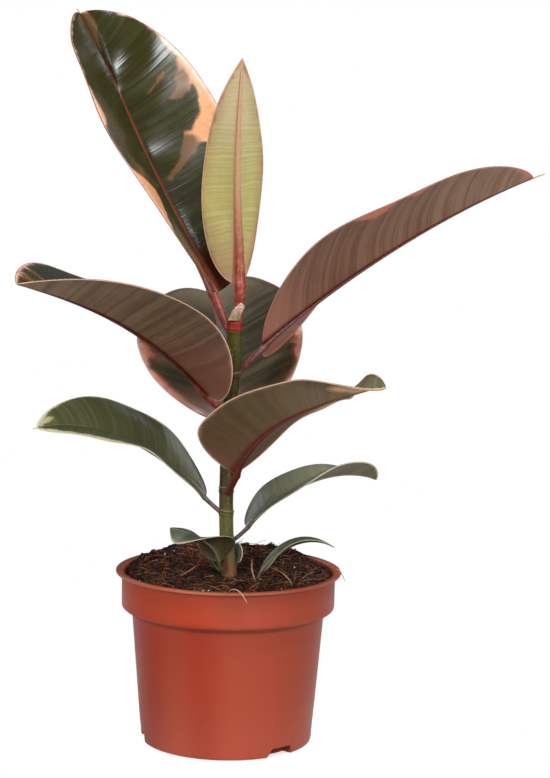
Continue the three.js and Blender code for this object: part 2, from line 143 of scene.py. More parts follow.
def heading_rise(heading: Array, rise: Array) -> Array:
    """The direction (cos r cos h, cos r sin h, sin r) for a heading h and a rise r in radians."""
    return np.stack([np.cos(rise) * np.cos(heading), np.cos(rise) * np.sin(heading), np.sin(rise)], -1)


def spline(points: Array, count: int) -> Array:
    """A Catmull-Rom curve through points, read at even steps of its parameter.

    Between p1 and p2 it is 0.5 (2 p1 + (p2 - p0) u + (2 p0 - 5 p1 + 4 p2 - p3) u^2
    + (3 p1 - p0 - 3 p2 + p3) u^3), with the end points mirrored outwards.

    Args:
        points: The points it passes, one in a row.
        count: How many points to return.

    Returns:
        The curve's points, one in a row.
    """
    padded = np.vstack([2 * points[:1] - points[1:2], points, 2 * points[-1:] - points[-2:-1]])
    place = np.linspace(0, len(points) - 1, count)
    i = np.minimum(place.astype(int), len(points) - 2)
    u = (place - i)[:, None]
    a, b, c, d = padded[i], padded[i + 1], padded[i + 2], padded[i + 3]
    return 0.5 * (2 * b + (c - a) * u + (2 * a - 5 * b + 4 * c - d) * u**2 + (3 * b - a - 3 * c + d) * u**3)


def carry(path: Array, radius: Array, sides: int, side: Array, flat: float) -> Array:
    """A nearly round section carried along a path.

    Point k of a ring is centre + radius (cos a e1 + flat sin a e2), with a = 2 pi k / sides, e1 the
    side way made square to the path, and e2 their cross product.

    Args:
        path: Centres, one in a row.
        radius: The radius at each centre.
        sides: Points in a ring.
        side: A rough sideways direction at each centre.
        flat: The section's height as a share of its width.

    Returns:
        Points in an array of rings by sides by 3.
    """
    tangent = unit(np.gradient(path, axis=0))
    first = unit(side - (side * tangent).sum(-1, keepdims=True) * tangent)
    second = np.cross(tangent, first)
    angle = np.linspace(0, 2 * np.pi, sides, endpoint=False)[None, :, None]
    ring = np.cos(angle) * first[:, None] + flat * np.sin(angle) * second[:, None]
    return path[:, None] + radius[:, None, None] * ring


# ---------- Meshes ----------


def tube_faces(rings: int, sides: int) -> Array:
    """Squares between the rings of a tube of points.

    Args:
        rings: Rings of points.
        sides: Points in a ring.

    Returns:
        Four point indices for each square, turning so that a ring going round anticlockwise about
        the way the rings run faces outwards.
    """
    row = np.arange(rings - 1)[:, None] * sides
    column = np.arange(sides)[None, :]
    after = (column + 1) % sides
    quads = np.stack([row + column, row + after, row + sides + after, row + sides + column], -1)
    return quads.reshape(-1, 4)


def fan(ring: Array, centre: int, outwards: bool) -> Array:
    """Triangles from a ring of point indices to one centre point.

    Args:
        ring: The ring's indices.
        centre: The centre's index.
        outwards: Whether the ring's own order faces outwards.

    Returns:
        Three indices for each triangle.
    """
    other = np.roll(ring, -1)
    pair = (ring, other) if outwards else (other, ring)
    return np.stack([*pair, np.full(len(ring), centre)], -1)


def make_piece(name: str, points: Array, faces: Faces, material: bpy.types.Material,
               values: dict[str, Array] | None = None, smooth: bool = True) -> bpy.types.Object:
    """Puts points and faces into a mesh object at the origin, with its faces outwards.

    Args:
        name: The piece's name.
        points: Its points in millimetres, one in a row.
        faces: Arrays of point indices, three or four in a row.
        material: Its material.
        values: Numbers stored at each point, by attribute name.
        smooth: Whether it is shaded smooth.

    Returns:
        The object, riding on the one body of the part.
    """
    mesh = bpy.data.meshes.new(name)
    faces = facing_out(points, faces)
    corners = np.concatenate([f.ravel() for f in faces]).astype(np.int32)
    counts = np.concatenate([np.full(len(f), f.shape[1]) for f in faces])
    starts = np.concatenate([[0], np.cumsum(counts)[:-1]]).astype(np.int32)
    mesh.vertices.add(len(points))
    mesh.vertices.foreach_set("co", (points * MM).astype(np.float32).ravel())
    mesh.loops.add(len(corners))
    mesh.loops.foreach_set("vertex_index", corners)
    mesh.polygons.add(len(counts))
    mesh.polygons.foreach_set("loop_start", starts)
    mesh.polygons.foreach_set("use_smooth", np.full(len(counts), smooth))
    mesh.update(calc_edges=True)
    mesh.validate()
    for key, value in (values or {}).items():
        attribute = mesh.attributes.new(key, "FLOAT", "POINT")
        attribute.data.foreach_set("value", np.asarray(value, np.float32).ravel())
    mesh.materials.append(material)
    piece = bpy.data.objects.new(name, mesh)
    bpy.context.scene.collection.objects.link(piece)
    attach(piece, BODY)
    LOG.info("%s: %d faces", name, len(mesh.polygons))
    return piece


def capped(grid: Array) -> tuple[Array, Faces]:
    """Closes a tube of rings with a point in the middle of each end.

    Args:
        grid: Points in an array of rings by sides by 3.

    Returns:
        The points in rows, and the faces.
    """
    rows, sides = grid.shape[:2]
    ends = np.stack([grid[0].mean(0), grid[-1].mean(0)])
    points = np.vstack([grid.reshape(-1, 3), ends])
    first, last = np.arange(sides), np.arange(sides) + (rows - 1) * sides
    count = rows * sides
    return points, [tube_faces(rows, sides), fan(first, count, False), fan(last, count + 1, True)]


def facing_out(points: Array, faces: Faces) -> Faces:
    """Turns every face round if together they enclose a negative volume.

    Args:
        points: The points, one in a row.
        faces: Arrays of point indices.

    Returns:
        The faces, facing outwards.
    """
    volume = 0.0
    for f in faces:
        for k in range(1, f.shape[1] - 1):
            a, b, c = points[f[:, 0]], points[f[:, k]], points[f[:, k + 1]]
            volume += float((a * np.cross(b, c)).sum())
    return [f[:, ::-1] for f in faces] if volume < 0 else faces


# ---------- Shading ----------

Socket = bpy.types.NodeSocket
Feed = Socket | float | tuple


class NodeWork:
    """A node tree while it is being built."""

    def __init__(self, tree: bpy.types.NodeTree) -> None:
        """Starts with an empty tree."""
        self.tree = tree
        tree.nodes.clear()

    def feed(self, socket: Socket, value: Feed) -> None:
        """Links a socket to another, or sets its constant.

        Args:
            socket: The input.
            value: An output, or the constant.
        """
        if isinstance(value, Socket):
            self.tree.links.new(value, socket)
        else:
            socket.default_value = value

    def node(self, kind: str, inputs: dict[str | int, Feed] | None = None, **settings: str) -> bpy.types.Node:
        """Adds a node, sets it up and feeds its inputs.

        Args:
            kind: The name of its type, without the first part that all share.
            inputs: What goes into its inputs, by their names or numbers.
            settings: Its properties.

        Returns:
            The node.
        """
        node = self.tree.nodes.new(f"ShaderNode{kind}")
        for key, setting in settings.items():
            setattr(node, key, setting)
        for key, value in (inputs or {}).items():
            self.feed(node.inputs[key], value)
        return node

    def math(self, operation: str, first: Feed, second: Feed) -> Socket:
        """One arithmetic step."""
        return self.node("Math", {0: first, 1: second}, operation=operation).outputs["Value"]

    def plus(self, first: Feed, second: Feed) -> Socket:
        """The sum of two numbers."""
        return self.math("ADD", first, second)

    def times(self, first: Feed, second: Feed) -> Socket:
        """The product of two numbers."""
        return self.math("MULTIPLY", first, second)

    def step(self, value: Feed, low: float, high: float, top: float = 1.0, bottom: float = 0.0) -> Socket:
        """A smooth step of a number.

        Args:
            value: The number.
            low: Where the step starts.
            high: Where it ends.
            top: What it gives beyond high.
            bottom: What it gives before low.

        Returns:
            The step.
        """
        inputs = {"Value": value, "From Min": low, "From Max": high, "To Min": bottom, "To Max": top}
        return self.node("MapRange", inputs, interpolation_type="SMOOTHSTEP").outputs["Result"]


class Shader(NodeWork):
    """A material's nodes while they are being built, with one Principled surface at their end."""

    def __init__(self, name: str) -> None:
        """Starts an empty material.

        Args:
            name: The material's name.
        """
        self.material = bpy.data.materials.new(name)
        self.material.use_nodes = True
        super().__init__(self.material.node_tree)
        self.surface = self.node("BsdfPrincipled")
        self.output = self.node("OutputMaterial", {"Surface": self.surface.outputs["BSDF"]})

    def attribute(self, name: str) -> Socket:
        """A number stored at the mesh's points, by its name."""
        return self.node("Attribute", attribute_name=name).outputs["Fac"]

    def place(self, stretch: Triple = (1.0, 1.0, 1.0)) -> Socket:
        """The object's own coordinates in metres, stretched along each axis."""
        own = self.node("TexCoord").outputs["Object"]
        return self.node("Mapping", {"Vector": own, "Scale": stretch}).outputs["Vector"]

    def height(self) -> Socket:
        """The height above the pot's foot, in millimetres."""
        split = self.node("SeparateXYZ", {"Vector": self.place()})
        return self.times(split.outputs["Z"], 1 / MM)

    def noise(self, scale: float, detail: float = 3.0, vector: Feed | None = None) -> Socket:
        """Smooth noise from about 0 to 1.

        Args:
            scale: Features to a unit of the vector.
            detail: Octaves.
            vector: Where it is read, the object's coordinates if left out.

        Returns:
            The noise.
        """
        vector = self.place() if vector is None else vector
        return self.node("TexNoise", {"Scale": scale, "Detail": detail, "Vector": vector}).outputs["Fac"]

    def lines(self, value: Feed, spacing: float, detail: float = 1.0) -> Socket:
        """Uneven stripes along one number, as noise of one dimension.

        Args:
            value: The number, in millimetres.
            spacing: The stripes' mean spacing.
            detail: Octaves.

        Returns:
            The stripes, from about 0 to 1.
        """
        inputs = {"W": value, "Scale": 1 / spacing, "Detail": detail}
        return self.node("TexNoise", inputs, noise_dimensions="1D").outputs["Fac"]

    def cells(self, scale: float) -> Socket:
        """The distance to the nearest of scattered points, in units of their spacing."""
        return self.node("TexVoronoi", {"Scale": scale, "Vector": self.place()}).outputs["Distance"]

    def blend(self, share: Feed, first: Feed, second: Feed) -> Socket:
        """A colour between two, at a share from the first to the second."""
        return self.node("Mix", {0: share, 6: first, 7: second}, data_type="RGBA").outputs[2]

    def tint(self, colour: Feed, share: Feed, code: str) -> Socket:
        """A colour moved by a share towards another, which is given by its hex digits."""
        return self.blend(share, colour, tone(code))

    def ramp(self, value: Feed, stops: Stops) -> Socket:
        """A colour that changes along a number.

        Args:
            value: The number.
            stops: Pairs of a number, rising, and a colour's hex digits.

        Returns:
            The colour.
        """
        low, high = stops[0][0], stops[-1][0]
        share = self.math("DIVIDE", self.math("SUBTRACT", value, low), high - low)
        node = self.node("ValToRGB", {"Fac": share})
        elements = node.color_ramp.elements
        for index, (at, code) in enumerate(stops):
            place = (at - low) / (high - low)
            element = elements[index] if index < 2 else elements.new(place)
            element.position = place
            element.color = tone(code)
        return node.outputs["Color"]

    def relief(self, height: Feed, depth: float, strength: float) -> None:
        """Raises the surface's fine relief.

        Args:
            height: The relief, from 0 to 1.
            depth: How far 1 stands above 0, in millimetres.
            strength: The share of it that shows.
        """
        node = self.node("Bump", {"Height": height, "Distance": depth * MM, "Strength": strength})
        self.feed(self.surface.inputs["Normal"], node.outputs["Normal"])

    def finish(self, colour: Feed, roughness: Feed, shine: float) -> bpy.types.Material:
        """Feeds the surface.

        Args:
            colour: Its colour.
            roughness: Its roughness, from 0 to 1.
            shine: Its specular level, from 0 to 1.

        Returns:
            The material.
        """
        sockets = {"Base Color": colour, "Roughness": roughness, "Specular IOR Level": shine}
        for key, value in sockets.items():
            self.feed(self.surface.inputs[key], value)
        return self.material


@dataclass(frozen=True)
class PotPlastic:
    """Moulded polypropylene, satin, with painted sheen streaks and a dusting of soil inside the rim.

    Each stop is a height in millimetres and the colour there. The stops darken the colour towards
    the foot, a painted shade, and pale it on the lip, a painted highlight. Each share is how much of
    the colour above it shows where it is strongest.
    """

    # Painted shade and highlight: the plastic is one colour, but these stops darken it low down and pale it
    # on the lip.
    stops: Stops = (
        (0.0, "84260f"),
        (45.0, "942c13"),
        (78.0, "982e15"),
        (92.0, "aa3a1d"),
        (103.5, "ac3d1f"),
        (105.6, "a5573d"),
    )
    # Painted sheen: the colour of the pale upright streaks.
    pale: str = "9e4630"
    painted_sheen_share: float = 0.7
    fleck: str = "d98a5c"
    fleck_share: float = 0.35
    grime: str = "7a4a3a"
    grime_share: float = 0.9
    shadow: str = "420f07"
    shadow_share: float = 0.92
    roughness: float = 0.3
    crease_roughness: float = 0.9
    shine: float = 0.3

    def material(self) -> bpy.types.Material:
        """Builds the material.

        Returns:
            The material.
        """
        shader = Shader("pot_plastic")
        # Painted sheen: noise stretched upright gives pale streaks that stand in for reflections of tall
        # lights.
        painted_sheen_streaks = shader.noise(13.0, 1.0, shader.place((1.0, 1.0, 0.1)))
        colour = shader.ramp(shader.height(), self.stops)
        colour = shader.tint(colour, shader.step(painted_sheen_streaks, 0.44, 0.6, self.painted_sheen_share), self.pale)
        fleck = shader.step(shader.cells(60.0), 0.035, 0.02, self.fleck_share)
        colour = shader.tint(colour, fleck, self.fleck)
        dirt = shader.times(shader.attribute("inside"), shader.step(shader.noise(70.0, 4.0), 0.35, 0.6))
        colour = shader.tint(colour, shader.times(dirt, self.grime_share), self.grime)
        # Painted shadow: crease darkens the colour under the lip, under the band and in the notches.
        crease = shader.attribute("crease")
        colour = shader.tint(colour, shader.times(crease, self.shadow_share), self.shadow)
        shader.relief(shader.noise(900.0, 2.0), 0.03, 0.3)
        rough = shader.step(crease, 0.0, 0.8, self.crease_roughness, self.roughness)
        return shader.finish(colour, rough, self.shine)


@dataclass(frozen=True)
class SoilFinish:
    """Damp coir and peat: crumbs from near black to fox red, read from a number at each point, and
    the hollows of the surface darkened towards near black as painted shade.
    """

    name: str = "soil"
    dark: str = "150a07"
    middle: str = "3e1b0f"
    light: str = "763a22"
    hollow_shade: str = "0d0705"
    hollow_shade_share: float = 0.75
    roughness: float = 0.82
    shine: float = 0.35

    def material(self) -> bpy.types.Material:
        """Builds the material.

        Returns:
            The material.
        """
        shader = Shader(self.name)
        coarse, fine = shader.noise(210.0, 5.0), shader.noise(950.0, 3.0)
        mix = shader.plus(shader.times(coarse, 0.6), shader.times(fine, 0.4))
        mix = shader.plus(mix, shader.times(shader.attribute("shade"), 0.5))
        colour = shader.ramp(mix, ((0.55, self.dark), (0.74, self.middle), (0.98, self.light)))
        # Painted shade: near black where the surface dips below its smooth height.
        colour = shader.tint(colour, shader.times(shader.attribute("hollow"), self.hollow_shade_share), self.hollow_shade)
        shader.relief(mix, 1.2, 0.8)
        return shader.finish(colour, self.roughness, self.shine)


@dataclass(frozen=True)
class GrainFinish:
    """A plain mineral or straw finish with a shade that varies from grain to grain."""

    name: str
    dark: str
    light: str
    roughness: float
    shine: float = 0.4

    def material(self) -> bpy.types.Material:
        """Builds the material.

        Returns:
            The material.
        """
        shader = Shader(self.name)
        fine = shader.noise(700.0, 3.0)
        share = shader.plus(shader.attribute("shade"), shader.times(fine, 0.5))
        colour = shader.blend(shader.step(share, 0.15, 1.25), tone(self.dark), tone(self.light))
        shader.relief(fine, 0.25, 0.6)
        return shader.finish(colour, self.roughness, self.shine)


@dataclass(frozen=True)
class BarkFinish:
    """Young bark, olive and brown, with pale ring scars and pores, and a red collar at the top.

    Each stop is a height in millimetres and the colour there.
    """

    stops: Stops = (
        (98.0, "6e4a33"),
        (106.0, "785632"),
        (114.0, "696036"),
        (128.0, "6a6a3c"),
        (140.0, "5f5f30"),
        (150.0, "3d361a"),
        (168.0, "3c2c18"),
        (190.0, "3c3216"),
        (206.0, "2c1f0b"),
        (222.0, "302706"),
        (240.0, "3c3608"),
        (258.0, "48480f"),
    )
    streak: str = "6e6230"
    shade: str = "33290f"
    pore: str = "a39a70"
    scar: str = "9a8260"
    groove: str = "3a2a18"
    wound: str = "7a4632"
    collar: str = "8a2620"
    collar_foot: float = 255.9
    collar_edge: float = 0.3
    roughness: float = 0.5
    shine: float = 0.25

    def material(self) -> bpy.types.Material:
        """Builds the material.

        Returns:
            The material.
        """
        shader = Shader("stem_bark")
        waver = shader.times(shader.plus(shader.noise(260.0, 2.0), -0.5), 1.4)
        height = shader.plus(shader.height(), waver)
        colour = shader.ramp(height, self.stops)
        streak = shader.noise(420.0, 4.0, shader.place((1.0, 1.0, 0.09)))
        colour = shader.tint(colour, shader.step(streak, 0.42, 0.7, 0.3), self.streak)
        dark = shader.noise(160.0, 3.0, shader.place((1.0, 1.0, 0.25)))
        colour = shader.tint(colour, shader.step(dark, 0.5, 0.75, 0.6), self.shade)
        pore = shader.step(shader.cells(420.0), 0.16, 0.08, 0.6)
        colour = shader.tint(colour, pore, self.pore)
        colour = shader.tint(colour, shader.step(shader.attribute("scar"), 0.25, 0.8, 0.45), self.scar)
        colour = shader.tint(colour, shader.step(shader.attribute("groove"), 0.2, 0.9, 0.8), self.groove)
        wound = shader.times(shader.attribute("wound"), shader.step(shader.noise(300.0, 2.0), 0.3, 0.5))
        colour = shader.tint(colour, wound, self.wound)
        low, high = self.collar_foot - self.collar_edge, self.collar_foot + self.collar_edge
        colour = shader.tint(colour, shader.step(height, low, high), self.collar)
        shader.relief(shader.plus(streak, shader.times(pore, 0.6)), 0.3, 0.6)
        return shader.finish(colour, self.roughness, self.shine)


@dataclass(frozen=True)
class SheathFinish:
    """A dried film: cream-green at its foot, crumpled and pinkish white at its tip."""

    foot: str = "a39868"
    tip: str = "cdae9c"
    brown: str = "8f6a50"
    pale: str = "f1e6dc"
    roughness: float = 0.28
    shine: float = 0.6

    def material(self, low: float, high: float) -> bpy.types.Material:
        """Builds the material.

        Args:
            low: The height of the foot, in millimetres.
            high: The height of the tip.

        Returns:
            The material.
        """
        shader = Shader("dried_sheath")
        rise = shader.step(shader.height(), low, high)
        colour = shader.blend(shader.step(rise, 0.25, 0.7), tone(self.foot), tone(self.tip))
        crease = shader.noise(520.0, 4.0, shader.place((1.0, 1.0, 0.4)))
        colour = shader.tint(colour, shader.step(crease, 0.52, 0.68, 0.7), self.brown)
        colour = shader.tint(colour, shader.step(crease, 0.42, 0.3, 0.7), self.pale)
        shader.relief(crease, 0.4, 0.9)
        return shader.finish(colour, self.roughness, self.shine)


class BladeFields:
    """The numbers that a blade's colours are read from.

    Stripe runs along the side veins, cloud and mottle are broad and fine noise, inside is how far a
    point lies in a pale patch, and edge is the distance to the rim with a little noise.
    """

    def __init__(self, shader: Shader, fine_spacing: float, broad_spacing: float) -> None:
        """Adds the nodes that give the numbers.

        Args:
            shader: The blade's shader.
            fine_spacing: The fine stripes' mean spacing, in millimetres.
            broad_spacing: The broad stripes' mean spacing.
        """
        wander = shader.times(shader.plus(shader.noise(45.0, 2.0), -0.5), 3.5)
        vein = shader.plus(shader.attribute("vein"), wander)
        self.fine = shader.lines(vein, fine_spacing, 1.0)
        self.broad = shader.lines(vein, broad_spacing, 2.0)
        self.cloud = shader.noise(28.0, 4.0)
        self.mottle = shader.noise(220.0, 3.0)
        stripe = shader.plus(shader.times(self.broad, 0.62), shader.times(self.fine, 0.38))
        self.stripe = shader.plus(stripe, shader.times(shader.plus(self.cloud, -0.5), 0.35))
        coarse, fine = shader.noise(150.0, 3.0), shader.noise(620.0, 2.0)
        ragged = shader.plus(shader.times(coarse, 3.4), shader.times(fine, 1.4))
        self.inside = shader.plus(shader.attribute("patch"), shader.plus(ragged, -2.4))
        self.run = shader.attribute("run")
        self.rib = shader.attribute("rib")
        self.rim = shader.attribute("rim")
        self.edge = shader.plus(self.rim, shader.times(shader.noise(300.0, 1.0), 0.5))


@dataclass(frozen=True)
class LeafFinish:
    """The colours of one leaf. Names with upper are of its glossy face, with under of its back.

    Base and far are the blade's two ends, and each reach is a share of its length. The far colours
    are painted sheen towards the tip, on the back mixed with the leaf's own tint there. Blur widens
    the pale patches' edges. Tan mottles the patches, and dusk lies round them.
    """

    upper: str = "2f3420"
    upper_light: str = "434a2c"
    under: str = "6e5642"
    under_light: str = "8a6f58"
    rib_upper: str = "6b3020"
    # Painted highlight along the crest of the midrib.
    rib_highlight: str = "a56a50"
    base_upper: str = "4a2418"
    rib_under: str = "6a2a22"
    stalk: str = "7c342b"
    stalk_light: str = "9a5143"
    pale: str = "dc9a6c"
    blush: str = "efc4b0"
    tan: str = "6e5233"
    dusk: str = "523a22"
    pale_under: str = "c98a6c"
    edge_upper: str = "8f5a44"
    edge_under: str = "cdb49a"
    base_under: str = "7d4a3c"
    far_tint_and_sheen_under: str = "8a7060"
    far_sheen_upper: str = "6e6450"
    far_sheen_share: float = 0.0
    rib_shade: str = "6a2a22"
    rib_reach: float = 0.12
    base_reach: float = 0.35
    upper_reach: float = 0.16
    gloss: float = 0.22
    shine: float = 0.5
    blur: float = 1.0
    edge_wash: float = 0.0
    under_roughness: float = 0.48
    stalk_roughness: float = 0.38
    stripes: float = 0.5
    under_stripes: float = 0.8
    fine_spacing: float = 1.6
    broad_spacing: float = 7.0

    def patches(self, shader: Shader, fields: BladeFields) -> Socket:
        """The colour of the pale patches: blushing at the rim, mottled, and tan at their edges.

        Args:
            shader: The blade's shader.
            fields: The numbers that the colours are read from.

        Returns:
            The colour.
        """
        colour = shader.blend(shader.step(fields.rim, 5.0, 0.5, 0.8), tone(self.pale), tone(self.blush))
        colour = shader.tint(colour, shader.step(fields.mottle, 0.45, 0.7, 0.25), self.tan)
        colour = shader.tint(colour, shader.attribute("stroked"), self.tan)
        return shader.tint(colour, shader.step(fields.inside, 2.2, 0.3, 0.6), self.tan)

    def upper_face(self, shader: Shader, fields: BladeFields) -> Socket:
        """The upper face's colour: stripes, then the pale patches, the rim, the base and the rib.

        Args:
            shader: The blade's shader.
            fields: The numbers that the colours are read from.

        Returns:
            The colour.
        """
        stripe = shader.step(fields.stripe, 0.4, 0.68, self.stripes)
        colour = shader.blend(stripe, tone(self.upper), tone(self.upper_light))
        # Painted sheen: the far part of the upper face is greyed and lightened.
        colour = shader.tint(colour, shader.step(fields.run, 0.5, 0.95, self.far_sheen_share), self.far_sheen_upper)
        colour = shader.tint(colour, shader.step(fields.inside, -1.8 * self.blur, -0.3, 0.6), self.dusk)
        patch = shader.step(fields.inside, -0.5 * self.blur, 0.5 * self.blur)
        colour = shader.blend(patch, colour, self.patches(shader, fields))
        colour = shader.tint(colour, shader.step(fields.edge, 1.15, 0.55, 0.9), self.edge_upper)
        base = shader.step(fields.run, self.upper_reach, 0.02, 0.85)
        colour = shader.tint(colour, base, self.base_upper)
        colour = shader.tint(colour, shader.step(fields.rib, 1.1, 0.5), self.rib_upper)
        # Painted highlight: a paler line along the crest of the midrib's ridge.
        return shader.tint(colour, shader.step(fields.rib, 0.3, 0.1, 0.6), self.rib_highlight)

    def under_face(self, shader: Shader, fields: BladeFields) -> Socket:
        """The back's colour: stripes, the two ends, mottling, the patches showing through, rim, rib.

        Args:
            shader: The blade's shader.
            fields: The numbers that the colours are read from.

        Returns:
            The colour.
        """
        stripe = shader.step(fields.stripe, 0.38, 0.66, self.under_stripes)
        colour = shader.blend(stripe, tone(self.under), tone(self.under_light))
        # Painted sheen, with some of the leaf's own tint: the far part of the back lightens between the
        # stripes.
        far, between = shader.step(fields.run, 0.35, 0.95, 0.8), shader.step(fields.stripe, 0.15, 0.7)
        colour = shader.tint(colour, shader.times(far, between), self.far_tint_and_sheen_under)
        cloudy_run = shader.plus(fields.run, shader.times(fields.cloud, 0.1))
        base = shader.step(cloudy_run, self.base_reach + 0.05, 0.05, 0.85)
        colour = shader.tint(colour, base, self.base_under)
        colour = shader.tint(colour, shader.step(fields.mottle, 0.45, 0.75, 0.18), self.under_light)
        patch = shader.step(fields.inside, -0.9 * self.blur, 1.4 * self.blur, 0.9)
        colour = shader.tint(colour, patch, self.pale_under)
        wash = shader.times(shader.step(fields.rim, 10.0, 0.5, self.edge_wash),
                            shader.step(fields.cloud, 0.3, 0.7, 1.0, 0.4))
        colour = shader.tint(colour, wash, self.pale_under)
        colour = shader.tint(colour, shader.step(fields.edge, 1.35, 0.65, 0.95), self.edge_under)
        colour = shader.tint(colour, shader.step(fields.rib, 1.7, 0.9, 0.6), self.rib_under)
        return shader.tint(colour, shader.step(fields.rib, 0.95, 0.72, 0.8), self.rib_shade)

    def blade(self, name: str) -> bpy.types.Material:
        """The blade's material, with both of its faces.

        Args:
            name: The material's name.

        Returns:
            The material.
        """
        shader = Shader(name)
        fields = BladeFields(shader, self.fine_spacing, self.broad_spacing)
        face = shader.attribute("face")
        under, upper = self.under_face(shader, fields), self.upper_face(shader, fields)
        colour = shader.blend(shader.step(face, 0.45, 0.55), under, upper)
        smooth = shader.step(fields.cloud, 0.3, 0.7, self.gloss + 0.05, self.gloss - 0.03)
        smoother = shader.math("SUBTRACT", smooth, self.under_roughness)
        rough = shader.plus(shader.times(face, smoother), self.under_roughness)
        shader.relief(shader.plus(shader.times(fields.fine, 0.5), fields.broad), 0.2, 0.45)
        return shader.finish(colour, rough, self.shine)

    def stem_of_leaf(self, name: str) -> bpy.types.Material:
        """The material of the stalk and of the rib that carries on from it.

        Args:
            name: The material's name.

        Returns:
            The material.
        """
        shader = Shader(name)
        streak = shader.noise(380.0, 3.0)
        stalk = shader.blend(shader.step(streak, 0.4, 0.68), tone(self.stalk), tone(self.stalk_light))
        past = shader.step(shader.attribute("run"), 0.02, self.rib_reach)
        colour = shader.tint(stalk, past, self.rib_under)
        colour = shader.tint(colour, shader.step(streak, 0.55, 0.75, 0.4), self.stalk_light)
        shader.relief(streak, 0.2, 0.4)
        return shader.finish(colour, self.stalk_roughness, 0.5)


# ---------- Leaves ----------


FAR_OUTSIDE = -30.0


class Hand(Enum):
    """The halves of a blade: to the left or to the right of the midrib, seen on its upper face."""

    LEFT = -1
    RIGHT = 1


@dataclass(frozen=True)
class Stroke:
    """A pale patch with round ends, from one place to another.

    Each end is a share of the blade's length, a share of its half width (negative on the left)
    and a radius in millimetres.
    """

    start: Triple
    end: Triple


@dataclass(frozen=True)
class LeafForm:
    """One leaf's shape: the same numbers as the solid's, and its pale patches.

    The midrib starts at base and turns through three headings and rises. The blade rolls about it,
    each half is folded up by fold, and its margin waves by the wave's millimetres, cycles and
    phase. Drip is the share drawn out as a thin point, and lean how the side veins slant and curve.
    Each swell raises the right half along a side vein: the share of the length where the vein
    leaves the midrib, the share of the half width where the swell is highest, and its height. Relief
    is the share of the fine corrugation and quilting that the blade has. Each band is pale and runs
    along a margin, as pairs of a share of the length and a depth in millimetres.
    """

    node: str
    base: Triple
    length: float
    half_width: float
    heading: Triple
    rise: Triple
    roll: Triple
    fold: Triple
    wave: Triple
    root: Triple
    leave: tuple[float, float]
    stalk: tuple[float, float]
    taper: tuple[float, float] = (0.5, 0.72)
    tip_turn: float = 0.0
    drip: float = 0.0
    rib_slender: float = 0.6
    lean: tuple[float, float] = (0.26, 0.2)
    swells: tuple[Triple, ...] = ()
    relief: float = 1.0
    left_band: Pairs = ()
    right_band: Pairs = ()
    strokes: tuple[Stroke, ...] = ()
    seed: float = 0.0


